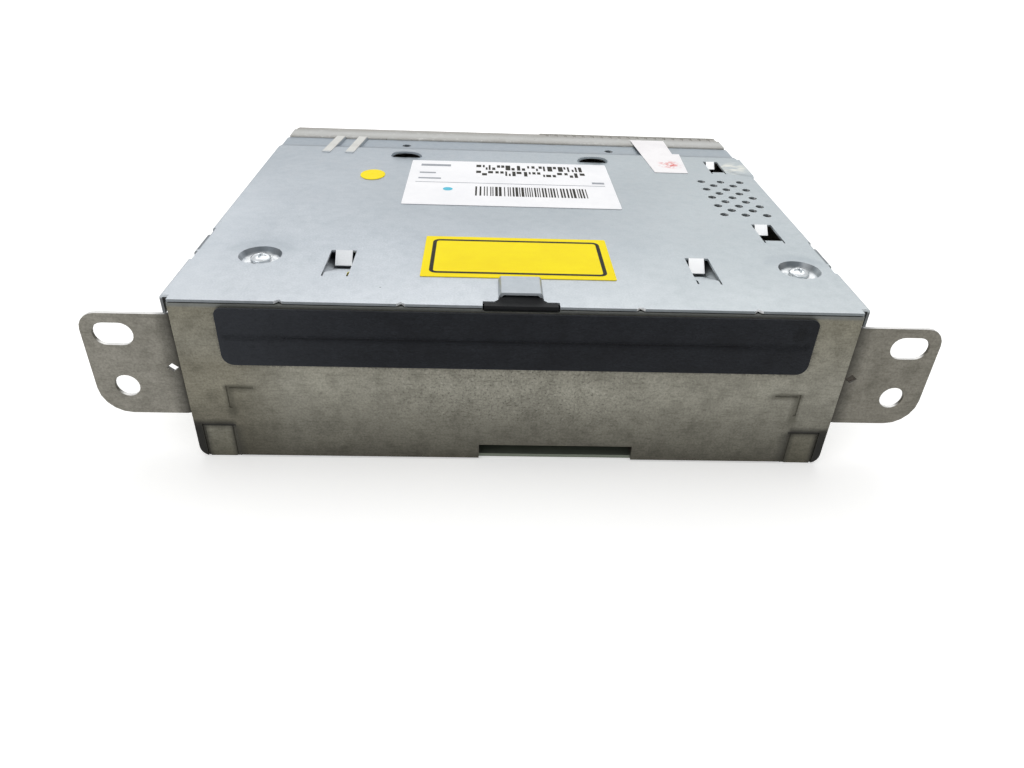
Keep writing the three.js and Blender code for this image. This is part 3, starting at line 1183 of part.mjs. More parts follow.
function rollerBracket() {
  const outer = swing.earFrom + swing.earSheet;
  const plateTop = swing.plateBottom + swing.sheet;
  const plate = block([-outer, outer], [swing.plateFront, swing.plateRear], [swing.plateBottom, plateTop]);
  const outline = [
    [swing.plateFront, swing.plateBottom], [pivot.y + swing.margin, pivot.z - swing.margin / 2],
    [pivot.y + swing.margin, pivot.z + swing.margin / 2],
    [roller.y + swing.margin, roller.z + swing.margin / 2],
    [roller.y, roller.z + swing.margin], [swing.plateFront, roller.z],
  ];
  const ears = [-1, 1].map((side) => prism('x', outline, ...mirrored(side, swing.earFrom, outer)));
  const lever = prism('x', [
    [pivot.y, pivot.z - swing.margin / 2], [pivot.y + swing.margin, pivot.z - swing.margin / 2],
    [swing.camY + clamp.leverHalf, swing.camZ - clamp.leverHalf / 2],
    [swing.camY + clamp.leverHalf, swing.camZ + clamp.leverHalf],
    [swing.camY - clamp.leverHalf, swing.camZ + clamp.leverHalf],
    [pivot.y - swing.margin / 2, pivot.z + swing.margin],
  ], -outer, -swing.earFrom);
  const camPin = cylinder('x', swing.camY, swing.camZ, clamp.camPin, camPinEnd, -outer + lap, smallSides);
  const holes = [pivot, roller].map((place) => cylinder('x', place.y, place.z, pinHole, -driveHalf,
    driveHalf, roundSides));
  return cutFrom(joined(plate, ...ears, lever, camPin), ...holes);
}

add(driveGroup, 'roller_bracket', rollerBracket(), 'brightSteel');

// Tooth shape, in shares of the tooth size and of the angle between teeth
const toothShares = { tip: 0.8, root: 1.15, tipWidth: 0.11, rootWidth: 0.29 };

function gearSolid(name, place, phase, bore) {
  const count = teeth[name];
  const tip = pitchRadius(name) + toothSize * toothShares.tip;
  const root = pitchRadius(name) - toothSize * toothShares.root;
  const step = (2 * Math.PI) / count;
  const outline = [];
  for (let tooth = 0; tooth < count; tooth += 1) {
    const middle = phase + tooth * step;
    for (const [radius, share] of [[root, -toothShares.rootWidth], [tip, -toothShares.tipWidth],
      [tip, toothShares.tipWidth], [root, toothShares.rootWidth]]) {
      const angle = middle + share * step;
      outline.push([place.y + radius * Math.cos(angle), place.z + radius * Math.sin(angle)]);
    }
  }
  return prism('x', outline, gearFace.from, gearFace.from + gearFace.width,
    [circle(place.y, place.z, bore, smallSides)]);
}

function direction(from, to) {
  return Math.atan2(to.z - from.z, to.y - from.y);
}

// The angle at which a gear's teeth fall between those of the gear that drives it
function meshPhase(phase, from, to, angle) {
  return angle + Math.PI - ((phase - angle) * teeth[from]) / teeth[to] - Math.PI / teeth[to];
}

const rollerPhase = direction(roller, upperIdler);
const upperPhase = meshPhase(rollerPhase, 'roller', 'upper', direction(roller, upperIdler));
const lowerPhase = meshPhase(upperPhase, 'upper', 'lower', direction(upperIdler, pivot));
const pinionPhase = meshPhase(lowerPhase, 'lower', 'pinion', direction(pivot, pinionPlace));
add(driveGroup, 'roller_gear', gearSolid('roller', roller, rollerPhase, roller.shaft + sleeveGap),
  'whitePlastic');
add(driveGroup, 'upper_idler_gear', gearSolid('upper', upperIdler, upperPhase, pinHole), 'whitePlastic');
add(driveGroup, 'lower_idler_gear', gearSolid('lower', pivot, lowerPhase, pinHole), 'whitePlastic');
add(driveGroup, 'motor_pinion',
  gearSolid('pinion', pinionPlace, pinionPhase, loadingMotor.shaft + sleeveGap), 'whitePlastic');
const shaftTip = gearFace.from + gearFace.width + clearance;
add(driveGroup, 'loading_motor', turned('x', pinionPlace.y, pinionPlace.z, [
  [0, loadingMotor.from], [loadingMotor.radius, loadingMotor.from], [loadingMotor.radius, loadingMotor.to],
  [loadingMotor.shaft, loadingMotor.to], [loadingMotor.shaft, shaftTip], [0, shaftTip],
], roundSides), 'brightSteel');

// Mode slide: its two slanted slots move the clamp arm and the roller bracket together
function turnedBy(centre, y, z, angle) {
  const [dy, dz] = [y - centre.y, z - centre.z];
  return [centre.y + dy * Math.cos(angle) - dz * Math.sin(angle),
    centre.z + dy * Math.sin(angle) + dz * Math.cos(angle)];
}

function camSlot(y, z, endY, endZ) {
  const radius = clamp.camPin + clearance;
  const lean = Math.atan2(endZ - z, endY - y);
  const outline = [
    ...arc(y, z, radius, lean + Math.PI / 2, lean + 1.5 * Math.PI, cornerSteps),
    ...arc(endY, endZ, radius, lean - Math.PI / 2, lean + Math.PI / 2, cornerSteps),
  ];
  return prism('x', outline, slideX[0] - overrun, slideX[1] + overrun);
}

function modeSlide() {
  const plate = block(slideX, [slide.front, slide.rear], [slide.bottom, slide.top]);
  const [armY, armZ] = turnedBy(armPivot, clamp.pinY, clamp.pinZ, clampAngle);
  const [camY, camZ] = turnedBy(pivot, swing.camY, swing.camZ, swingAngle);
  return cutFrom(plate, camSlot(clamp.pinY, clamp.pinZ, armY - slide.travel, armZ),
    camSlot(swing.camY, swing.camZ, camY - slide.travel, camZ));
}

add(driveGroup, 'mode_slide', modeSlide(), 'brightSteel');

// Drive board under the deck, and the flexible cable down to the main board
add(driveGroup, 'drive_board', block([-driveBoard.left, -driveBoard.right],
  [-driveBoard.front, driveBoard.rear], [-driveBoard.drop - boardThickness, -driveBoard.drop]),
'circuitBoard');
const ribbon = { width: 14, thickness: 0.4, fromX: -50, loopX: -66, y: 70, corner: 2.5 };

function flexCable() {
  const high = deckTop - driveBoard.drop - boardThickness - clearance;
  const low = partBottom;
  const t = ribbon.thickness;
  const c = ribbon.corner;
  const outline = [
    [ribbon.fromX, high], ...arc(ribbon.loopX + c, high - c, c, Math.PI / 2, Math.PI, bendSteps),
    ...arc(ribbon.loopX + c, low + c, c, Math.PI, 1.5 * Math.PI, bendSteps), [ribbon.fromX, low],
    [ribbon.fromX, low + t], ...arc(ribbon.loopX + c, low + c, c - t, 1.5 * Math.PI, Math.PI, bendSteps),
    ...arc(ribbon.loopX + c, high - c, c - t, Math.PI, Math.PI / 2, bendSteps), [ribbon.fromX, high - t],
  ];
  return prism('y', outline, ribbon.y, ribbon.y + ribbon.width);
}

add(unit, 'flex_cable', flexCable(), 'flex');

// The origin lies on the floor under the middle of the whole unit
const frontEdge = -clearance - seal.thickness;
const rearEdge = sinkFront + sink.length;
const model = new THREE.Group();
unit.position.y = -(frontEdge + rearEdge) / 2;
model.add(unit);

export default model;
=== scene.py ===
import json
import math
import random

import bmesh
import bpy
from mathutils import Matrix, Vector


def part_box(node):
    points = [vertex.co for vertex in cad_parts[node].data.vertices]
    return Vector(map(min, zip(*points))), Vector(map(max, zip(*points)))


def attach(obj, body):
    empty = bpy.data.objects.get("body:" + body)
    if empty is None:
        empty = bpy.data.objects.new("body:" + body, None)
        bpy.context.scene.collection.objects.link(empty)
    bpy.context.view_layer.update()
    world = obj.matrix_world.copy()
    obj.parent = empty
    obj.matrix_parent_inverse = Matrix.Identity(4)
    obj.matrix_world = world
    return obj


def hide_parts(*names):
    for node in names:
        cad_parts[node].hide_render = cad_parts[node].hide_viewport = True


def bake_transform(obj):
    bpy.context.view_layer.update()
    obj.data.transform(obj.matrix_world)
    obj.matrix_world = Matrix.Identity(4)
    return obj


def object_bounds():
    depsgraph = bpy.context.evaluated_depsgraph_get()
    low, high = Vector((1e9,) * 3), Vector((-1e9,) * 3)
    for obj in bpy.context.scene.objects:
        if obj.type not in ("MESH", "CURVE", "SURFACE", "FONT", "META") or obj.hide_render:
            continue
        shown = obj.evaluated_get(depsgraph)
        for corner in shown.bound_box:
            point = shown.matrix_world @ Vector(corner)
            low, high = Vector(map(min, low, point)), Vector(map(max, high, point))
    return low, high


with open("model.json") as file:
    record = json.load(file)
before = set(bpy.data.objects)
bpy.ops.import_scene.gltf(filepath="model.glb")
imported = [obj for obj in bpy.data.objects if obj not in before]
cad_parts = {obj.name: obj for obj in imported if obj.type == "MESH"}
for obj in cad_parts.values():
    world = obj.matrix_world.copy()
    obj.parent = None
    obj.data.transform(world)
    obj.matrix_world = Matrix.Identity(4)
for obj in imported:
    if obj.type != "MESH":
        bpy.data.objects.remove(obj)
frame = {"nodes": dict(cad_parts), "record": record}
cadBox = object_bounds()
nodes = frame["nodes"]
print("stage 1: frame loaded,", len(nodes), "nodes")


# Colours are written as on a screen and turned linear here
def toLinear(code):
    parts = [int(code[index:index + 2], 16) / 255 for index in (1, 3, 5)]
    return (*[part / 12.92 if part <= 0.04045 else ((part + 0.055) / 1.055) ** 2.4 for part in parts], 1.0)


# Adds one node, gives it its settings, sets or links its sockets, and returns the output that is wanted
def addNode(tree, kind, output, sockets=None, **settings):
    node = tree.nodes.new("ShaderNode" + kind)
    for name, value in settings.items():
        setattr(node, name, value)
    for name, value in (sockets or {}).items():
        if isinstance(value, bpy.types.NodeSocket):
            tree.links.new(value, node.inputs[name])
        else:
            node.inputs[name].default_value = value
    return node.outputs[output]


# One pattern of a finish. Noise, cells and bands have a real size in millimetres, and fibres and drawn marks
# lie across the piece; "along" and "beside" run with an axis, "beside" alike on both sides; "near" is the
# distance to a spot
def patternOf(tree, place, kind, size, sockets):
    if kind in ("along", "beside", "facing"):
        source = addNode(tree, "TexCoord", "Normal") if kind == "facing" else place
        value = addNode(tree, "SeparateXYZ", size, {"Vector": source})
        if kind == "beside":
            value = addNode(tree, "Math", "Value", {0: value}, operation="ABSOLUTE")
        return value
    if kind == "near":
        spot = [length / 1000 for length in size]
        return addNode(tree, "VectorMath", "Value", {0: place, 1: spot}, operation="DISTANCE")
    if kind in ("fibres", "drawn"):
        stretch = 0.35 if kind == "fibres" else 0.2
        place = addNode(tree, "Mapping", "Vector", {"Vector": place, "Scale": (stretch, 1.0, 1.0)})
    settled = {"Vector": place, "Scale": 1000 / size, **sockets}
    if kind == "cells":
        return addNode(tree, "TexVoronoi", "Distance", settled)
    if kind == "chance":
        chances = addNode(tree, "TexVoronoi", "Color", settled)
        return addNode(tree, "SeparateColor", "Red", {"Color": chances})
    if kind in ("bandsX", "bandsY", "bandsZ"):
        settled["Scale"] *= math.pi / 10
        return addNode(tree, "TexWave", "Fac", settled, bands_direction=kind[-1])
    return addNode(tree, "TexNoise", "Fac", {"Detail": 4.0, "Roughness": 0.6, **settled})


# A pattern between two of its values, spread over two others
def spreadPattern(tree, place, row, toLow, toHigh):
    kind, size, low, high, *more = row
    step = 1 / 1000 if kind in ("along", "beside", "near") else 1
    return addNode(tree, "MapRange", "Result", {
        "Value": patternOf(tree, place, kind, size, more[0] if more else {}), "From Min": low * step,
        "From Max": high * step, "To Min": toLow, "To Max": toHigh})


bumpStrength = 0.6  # how far the bumps turn the light, of their full depth


# A finish: a ground colour, layers laid over it where their patterns all meet, and roughness and bumps
def makeFinish(name, look):
    material = bpy.data.materials.new(name)
    material.use_nodes = True
    tree = material.node_tree
    shader = tree.nodes["Principled BSDF"]
    for socket, value in look["surface"].items():
        shader.inputs[socket].default_value = value
    place = addNode(tree, "TexCoord", "Object")
    colour = toLinear(look["ground"])
    for tint, amount, blend, *rows in look["layers"]:
        share = spreadPattern(tree, place, rows[0], 0.0, amount)
        for row in rows[1:]:
            strength = spreadPattern(tree, place, row, 0.0, 1.0)
            share = addNode(tree, "Math", "Value", {0: share, 1: strength}, operation="MULTIPLY")
        colour = addNode(tree, "Mix", 2, {0: share, 6: colour, 7: toLinear(tint)},
                         data_type="RGBA", blend_type=blend)
    tree.links.new(colour, shader.inputs["Base Color"])
    if "roughness" in look:
        smoothest, roughest, row = look["roughness"]
        tree.links.new(spreadPattern(tree, place, row, smoothest, roughest), shader.inputs["Roughness"])
    normal = None
    for depth, kind, size, *more in look["bumps"]:
        height = patternOf(tree, place, kind, size, more[0] if more else {})
        sockets = {"Distance": depth / 1000, "Height": height, "Strength": bumpStrength}
        if normal:
            sockets["Normal"] = normal
        normal = addNode(tree, "Bump", "Normal", sockets)
    tree.links.new(normal, shader.inputs["Normal"])
    return material


# Electro-galvanised steel, rolled and pressed: a cool pale grey with a cloudy film and a matt zinc grain.
# The grain is really about 0.05 mm and is drawn at 0.5 mm, so that it shows
grit = {"Detail": 6.0, "Roughness": 0.7}
lidLook = {
    "surface": {"Metallic": 0.7, "Roughness": 0.45},
    "ground": "#b0b6bc",
    "layers": [
        ("#a0a7ae", 0.6, "MIX", ("noise", 22, 0.36, 0.66)),
        ("#929aa1", 0.28, "MIX", ("noise", 4, 0.45, 0.7, grit)),
        ("#818a91", 0.34, "MIX", ("noise", 0.5, 0.35, 0.65, {"Detail": 2.0})),
        # painted light and shade: paler to the front, darker to the rear and across the middle, and paler at
        # the left front edge; warmer to the right
        ("#ffffff", 0.13, "SCREEN", ("along", "Y", -45, -82)),
        ("#8b949b", 0.45, "MIX", ("along", "Y", -10, 50)),
        ("#a9b2b1", 0.35, "MIX", ("along", "X", -20, 60)),
        ("#8a9297", 0.42, "MIX", ("beside", "X", 75, 15), ("along", "Y", -45, -20), ("along", "Y", 40, 10)),
        ("#c3c9cf", 0.35, "MIX", ("along", "X", -74, -88), ("along", "Y", 20, -20)),
        # the hood over the catch
        ("#8d959b", 0.5, "MIX", ("beside", "X", 7, 6), ("along", "Z", 49.8, 50.3), ("along", "Y", -60, -64)),
        # painted shade on the front cut edge and on the ledge behind the step, deepest at the step's foot
        ("#4d5357", 0.7, "MIX", ("facing", "Y", -0.8, -0.95), ("along", "Y", -81.2, -81.5)),
        ("#848e97", 0.6, "MIX", ("along", "Y", 50.5, 52)),
        ("#4e575f", 0.5, "MIX", ("along", "Y", 51, 52.2), ("along", "Y", 56, 52.5)),
        # painted highlight on the hooks' tabs, which face the light, brighter towards the right
        ("#fbfcfd", 0.9, "MIX", ("facing", "Y", -0.35, -0.6), ("along", "Z", 45.6, 45.9),
         ("beside", "X", 24, 26), ("facing", "Y", -0.86, -0.76), ("along", "X", -110, 0)),
        # painted shade on the far walls of the screw dimples, and on the soft turn above them
        ("#8b949b", 0.35, "MIX", ("near", (-72.4, -53.6, 49), 11.5, 9.5), ("along", "Y", -53, -48)),
        ("#8b949b", 0.35, "MIX", ("near", (80.6, -55.4, 49), 11.5, 9.5), ("along", "Y", -55, -50)),
        ("#434b51", 0.75, "MIX", ("near", (-72.4, -53.6, 49), 9.5, 8.5), ("facing", "Y", -0.1, -0.45)),
        ("#434b51", 0.75, "MIX", ("near", (80.6, -55.4, 49), 9.5, 8.5), ("facing", "Y", -0.1, -0.45)),
        # painted highlight on the dimples' floors, in patches
        ("#fbfcfc", 0.7, "MIX", ("near", (-72.4, -53.6, 48), 5.4, 4.4), ("noise", 2.4, 0.36, 0.52)),
        ("#fbfcfc", 0.7, "MIX", ("near", (80.6, -55.4, 48), 5.4, 4.4), ("noise", 2.4, 0.36, 0.52)),
        # the seams where the side tabs bend down
        ("#3f464b", 0.75, "MIX", ("beside", "X", 89.9, 90.3), ("beside", "X", 91.2, 90.8),
         ("along", "Y", -51.2, -50.8), ("along", "Y", -36, -36.6), ("along", "Z", 48.9, 49.2)),
        # a painted pale, warm reflection on the ribs on the ledge, and a painted highlight in streaks beside
        # the rear hook
        ("#c9c7c0", 0.75, "MIX", ("along", "Y", 43, 46), ("along", "Z", 49.52, 49.6),
         ("along", "X", -54, -57)),
        ("#e4e1d4", 0.6, "MIX", ("near", (86, 37, 49.5), 8, 3), ("fibres", 1.6, 0.42, 0.6)),
        # painted shade on the ends of the side flanges
        ("#262523", 0.95, "MIX", ("beside", "X", 89.2, 89.4), ("along", "Y", -78, -79.4),
         ("along", "Z", 48.9, 48.3)),
        # a bit of yellow film caught in the left hook's slit
        ("#d9cf62", 0.9, "MIX", ("along", "X", -46.9, -46.7), ("along", "X", -45.6, -45.8),
         ("along", "Y", -66, -65), ("along", "Y", -52, -53), ("along", "Z", 49.48, 49.4)),
        ("#5d6361", 0.6, "MIX", ("cells", 5.2, 0.035, 0.02), ("chance", 5.2, 0.85, 0.87)),
        ("#4a4f4e", 0.7, "MIX", ("cells", 9, 0.035, 0.02), ("chance", 9, 0.85, 0.87)),
    ],
    "roughness": (0.36, 0.54, ("noise", 3.5, 0.35, 0.68)),
    "bumps": [(0.12, "noise", 34, {"Detail": 1.0}), (0.02, "noise", 0.5, {"Detail": 2.0})],
}


# Hot-dip galvanised steel, weathered: brownish grey with soft clouds, a gritty grain and dark pin marks
def galvanisedLook(ground, cloud, extraLayers):
    return {
        "surface": {"Metallic": 0.6, "Roughness": 0.5},
        "ground": ground,
        "layers": [
            (cloud, 0.6, "MIX", ("noise", 18, 0.36, 0.68)),
            ("#5e5c52", 0.4, "MIX", ("noise", 5, 0.45, 0.72, grit)),
            ("#4e4c44", 0.5, "MIX", ("noise", 0.6, 0.42, 0.7, grit)),
            ("#59574c", 0.45, "MIX", ("drawn", 0.8, 0.5, 0.7, grit)),
            *extraLayers,
            ("#3a382f", 0.5, "MIX", ("cells", 4.2, 0.04, 0.025), ("chance", 4.2, 0.82, 0.84)),
        ],
        "roughness": (0.42, 0.62, ("noise", 5, 0.3, 0.7)),
        "bumps": [(0.03, "noise", 5, grit), (0.02, "noise", 0.6)],
    }


plateLook = galvanisedLook("#9b998d", "#86847a", [
    # fine grime over the middle, under the felt
    ("#33322b", 0.6, "MIX", ("noise", 0.8, 0.53, 0.63, grit), ("beside", "X", 60, 15),
     ("along", "Z", 8, 18)),
    ("#b9b8ac", 0.4, "MIX", ("noise", 0.9, 0.56, 0.66, grit), ("beside", "X", 60, 15),
     ("along", "Z", 8, 18)),
    # painted shade: darker towards the bottom, a little darker towards the top, and darker near the left
    # edge
    ("#7f7c75", 0.9, "MULTIPLY", ("along", "Z", 24, 0)),
    ("#dedbd2", 0.9, "MULTIPLY", ("along", "Z", 26, 46)),
    ("#ddd9cf", 0.8, "MULTIPLY", ("along", "X", -62, -76), ("along", "Z", 37, 30)),
    # painted shade in the shallow corner marks
    ("#454339", 0.6, "MIX", ("beside", "X", 79.4, 78.4), ("beside", "X", 69.5, 71.5),
     ("along", "Z", 24.6, 23.8), ("along", "Z", 21.6, 22.8)),
    ("#454339", 0.6, "MIX", ("beside", "X", 79.4, 78.4), ("beside", "X", 75.8, 77.2),
     ("along", "Z", 24.2, 23.4), ("along", "Z", 12, 15)),
    # shaded edges: under the lid, and beside and above the corner tabs
    ("#6b6f6f", 0.75, "MIX", ("along", "Z", 47.2, 47.9)),
    ("#141412", 0.95, "MIX", ("beside", "X", 86.3, 87.1), ("along", "Z", 12.4, 10.4)),
    ("#22211d", 0.85, "MIX", ("beside", "X", 77, 78.4), ("along", "Z", 13, 11.3), ("along", "Z", 10, 11)),
    ("#33322c", 0.7, "MIX", ("beside", "X", 75, 77.6), ("beside", "X", 78.5, 77.8),
     ("along", "Z", 11.5, 10)),
])
bracketLook = galvanisedLook("#8f8c83", "#7e7b72", [
    # painted shade: darker towards the right
    ("#ecebe8", 0.95, "MULTIPLY", ("along", "X", -20, 100)),
    # a painted highlight along the top cut edge, painted shade on the inner side of the bend, and painted
    # shade in the right ear's blind mark
    ("#ffffff", 0.6, "MIX", ("facing", "Z", 0.5, 0.85)),
    ("#26241f", 0.75, "MIX", ("beside", "X", 94.6, 90.6), ("along", "Y", -77.2, -78)),
    ("#2b2018", 0.6, "MIX", ("along", "X", 90.4, 90.7), ("along", "X", 94.2, 93.9),
     ("along", "Z", 26.2, 26.4), ("along", "Z", 29.2, 29.0), ("along", "Y", -79.0, -78.8)),
])
trayLook = galvanisedLook("#8e8c7f", "#7c7a6f", [
    # painted shade: darker towards the bottom of the front, and towards the right
    ("#b4b2aa", 0.9, "MULTIPLY", ("along", "Z", 14, 0), ("along", "Y", -79, -81)),
    ("#dad8d4", 0.9, "MULTIPLY", ("along", "X", 0, 80)),
    # painted shade on the tabs' rounded rims and on the lip of the lower slot
    ("#2e2d28", 0.75, "MIX", ("beside", "X", 80.2, 78.6), ("along", "Y", -80, -81.3)),
    ("#1c1b18", 0.85, "MIX", ("beside", "X", 85, 86.7), ("along", "Y", -80, -81.3)),
    ("#2e2d28", 0.75, "MIX", ("along", "Z", 9, 10.5), ("along", "Y", -80, -81.3)),
    ("#141412", 0.85, "MIX", ("along", "Z", 10.3, 10.5), ("along", "Y", -80.6, -81)),
    ("#7c8477", 0.85, "MIX", ("along", "X", -10.8, -10.2), ("along", "X", 34, 33.4), ("along", "Z", 8, 7),
     ("along", "Y", -60, -75)),
])
# Die-cast aluminium: a warm pale grey, slightly rough from the mould, with paler worn spots
castLook = {
    "surface": {"Metallic": 0.75, "Roughness": 0.52},
    "ground": "#9fa09f",
    "layers": [
        ("#92918d", 0.8, "MIX", ("noise", 14, 0.35, 0.7, {"Detail": 5.0, "Distortion": 0.8})),
        ("#817e75", 0.45, "MIX", ("noise", 0.7, 0.35, 0.7)),
        ("#c4c4c1", 0.5, "MIX", ("noise", 2.5, 0.58, 0.7)),
        # a painted highlight in a band along the top of the land, and painted shade behind it
        ("#b1b2b0", 0.6, "MIX", ("along", "Y", 66.5, 70), ("along", "Y", 75, 72), ("facing", "Z", 0.6, 0.9)),
        ("#8e8b84", 0.5, "MIX", ("along", "Y", 75, 77)),
        ("#57544b", 0.7, "MIX", ("cells", 3.6, 0.09, 0.06), ("chance", 3.6, 0.8, 0.82)),
    ],
    "roughness": (0.45, 0.62, ("noise", 14, 0.3, 0.7)),
    "bumps": [(0.05, "noise", 0.7)],
}
# Steel, turned or pressed and bright zinc plated: a hard shine with a little dulling and fine marks.
# The turning marks are really about 0.05 mm apart and are drawn at 0.25 mm
brightLook = {
    "surface": {"Metallic": 1.0, "Roughness": 0.26},
    "ground": "#d2d6d9",
    "layers": [
        ("#9ea3a6", 0.8, "MIX", ("noise", 2.2, 0.4, 0.7)),
        ("#85898b", 0.35, "MIX", ("noise", 0.4, 0.5, 0.75)),
        ("#6c6f70", 0.7, "MIX", ("cells", 2.4, 0.08, 0.05), ("chance", 2.4, 0.8, 0.82)),
    ],
    "roughness": (0.2, 0.38, ("noise", 2.2, 0.3, 0.7)),
    "bumps": [(0.015, "noise", 0.25, {"Detail": 2.0})],
}
# Pressed wool felt: matt blue-black fibres with flattened darker patches. The fibres are really
# about 0.02 mm thick and are drawn at 0.5 mm in clumps
clumps = {"Detail": 5.0, "Roughness": 0.75, "Distortion": 1.6}
feltLook = {
    "surface": {"Roughness": 0.95, "Sheen Weight": 0.2, "Sheen Roughness": 0.5,
                "Specular IOR Level": 0.15},
    "ground": "#181a1e",
    "layers": [
        ("#2b2e34", 0.8, "MIX", ("fibres", 0.5, 0.38, 0.7, clumps)),
        ("#131418", 0.5, "MIX", ("noise", 9, 0.45, 0.7)),
        # painted light: paler towards the left; and a small dark spot near the right end
        ("#3c3f45", 0.4, "MIX", ("along", "X", -35, -75)),
        ("#0a0b0d", 0.5, "MIX", ("near", (72.9, -82.9, 43.5), 2.6, 1.0)),
    ],
    "bumps": [(0.12, "fibres", 0.5, clumps)],
}


# Moulded plastic: an even colour with faint clouds, a fine spark-eroded skin and a slight shine
def plasticLook(ground, cloud, roughness, skin=0.35, shine=0.35):
    return {
        "surface": {"IOR": 1.53, "Roughness": roughness, "Specular IOR Level": shine},
        "ground": ground,
        "layers": [
            (cloud, 0.9, "MIX", ("noise", 8, 0.35, 0.7)),
            (cloud, 0.4, "MIX", ("noise", skin, 0.5, 0.75)),
        ],
        "roughness": (roughness - 0.06, roughness + 0.08, ("noise", skin, 0.3, 0.7)),
        "bumps": [(0.03, "noise", skin, {"Detail": 2.0})],
    }


# Coated label stock: smooth, with faint fibre clouds and a soft shine
def stockLook(ground, cloud, extraLayers=()):
    return {
        "surface": {"IOR": 1.48, "Roughness": 0.5, "Specular IOR Level": 0.1},
        "ground": ground,
        "layers": [
            (cloud, 0.6, "MIX", ("noise", 14, 0.4, 0.75)),
            (cloud, 0.3, "MIX", ("noise", 1.2, 0.5, 0.75, grit)),
            *extraLayers,
        ],
        "bumps": [(0.02, "noise", 1.2, grit)],
    }


# Printed ink: flat and matt, slightly broken where the roller skipped
def inkLook(ground, worn):
    return {
        "surface": {"Roughness": 0.55, "Specular IOR Level": 0.08},
        "ground": ground,
        "layers": [(worn, 0.8, "MIX", ("noise", 0.4, 0.52, 0.75))],
        "bumps": [(0.005, "noise", 0.4)],
    }


# Solder mask printed over glass fibre: deep green gloss, with copper tracks paler under it and tinned pads
boardLook = {
    "surface": {"IOR": 1.55, "Roughness": 0.32},
    "ground": "#17502f",
    "layers": [
        ("#2c7a49", 0.8, "MIX", ("cells", 4.5, 0.24, 0.3)),
        ("#0f3a22", 0.4, "MIX", ("noise", 0.6, 0.45, 0.7)),
        ("#b9bdae", 0.9, "MIX", ("cells", 3.1, 0.14, 0.1), ("chance", 3.1, 0.65, 0.67)),
    ],
    "bumps": [(0.03, "cells", 4.5)],
}
# Enamelled copper wire, wound: red-brown turns with a lacquer shine
copperLook = {
    "surface": {"Metallic": 0.9, "Roughness": 0.3},
    "ground": "#6f3517",
    "layers": [
        ("#c9763f", 0.95, "MIX", ("bandsZ", 0.7, 0.1, 0.9)),
        ("#8d4a22", 0.4, "MIX", ("noise", 3, 0.4, 0.7)),
    ],
    "bumps": [(0.15, "bandsZ", 0.7)],
}
# Optical glass, moulded and coated: clear, with a violet tint
lensLook = {
    "surface": {"IOR": 1.6, "Roughness": 0.05, "Transmission Weight": 0.8, "Coat Weight": 0.6},
    "ground": "#c8b6e0",
    "layers": [("#9fb4dc", 0.9, "MIX", ("noise", 3, 0.3, 0.7))],
    "bumps": [(0.002, "noise", 3)],
}
# Polyimide film, laminated: smooth and amber, with copper conductors along it
filmLook = {
    "surface": {"IOR": 1.7, "Roughness": 0.28},
    "ground": "#7a4a17",
    "layers": [
        ("#c48a3a", 0.95, "MIX", ("bandsX", 1.0, 0.35, 0.65)),
        ("#8c5a20", 0.4, "MIX", ("noise", 2, 0.5, 0.7)),
    ],
    "bumps": [(0.04, "bandsX", 1.0)],
}
smudge = ("#e0605a", 0.9, "MIX", ("near", (61.8, 39.5, 49.7), 5.5, 1.6), ("noise", 1.8, 0.45, 0.56))
looks = {
    "electroZincSteel": lidLook, "galvanisedPlate": plateLook, "galvanisedBracket": bracketLook,
    "galvanisedTray": trayLook, "dieCastAluminium": castLook, "brightZincSteel": brightLook,
    "pressedFelt": feltLook, "blackNylon": plasticLook("#131517", "#0c0d0f", 0.55, shine=0.14),
    "greyNylon": plasticLook("#70757a", "#5d6266", 0.5),
    "naturalAcetal": plasticLook("#e8e5da", "#cfcbbc", 0.42),
    "epoxyMoulding": plasticLook("#2b2c2e", "#1c1d1f", 0.6, 0.2),
    "nitrileRubber": plasticLook("#202122", "#141516", 0.8, 0.6),
    "coatedPaper": stockLook("#fdfdff", "#eff0f4"), "yellowFilm": stockLook("#ffe900", "#f5d800"),
    "sealPaper": stockLook("#fbf9fa", "#e6e2e5", [smudge]), "darkInk": inkLook("#25241d", "#55534a"),
    "greyInk": inkLook("#9da1a8", "#c9ccd2"), "cyanInk": inkLook("#57c3dc", "#a8e4ee"),
    "solderMaskBoard": boardLook, "enamelledCopper": copperLook, "coatedGlass": lensLook,
    "polyimideFilm": filmLook,
}
finishes = {name: makeFinish(name, look) for name, look in looks.items()}
print("stage 2: finishes made,", len(finishes))

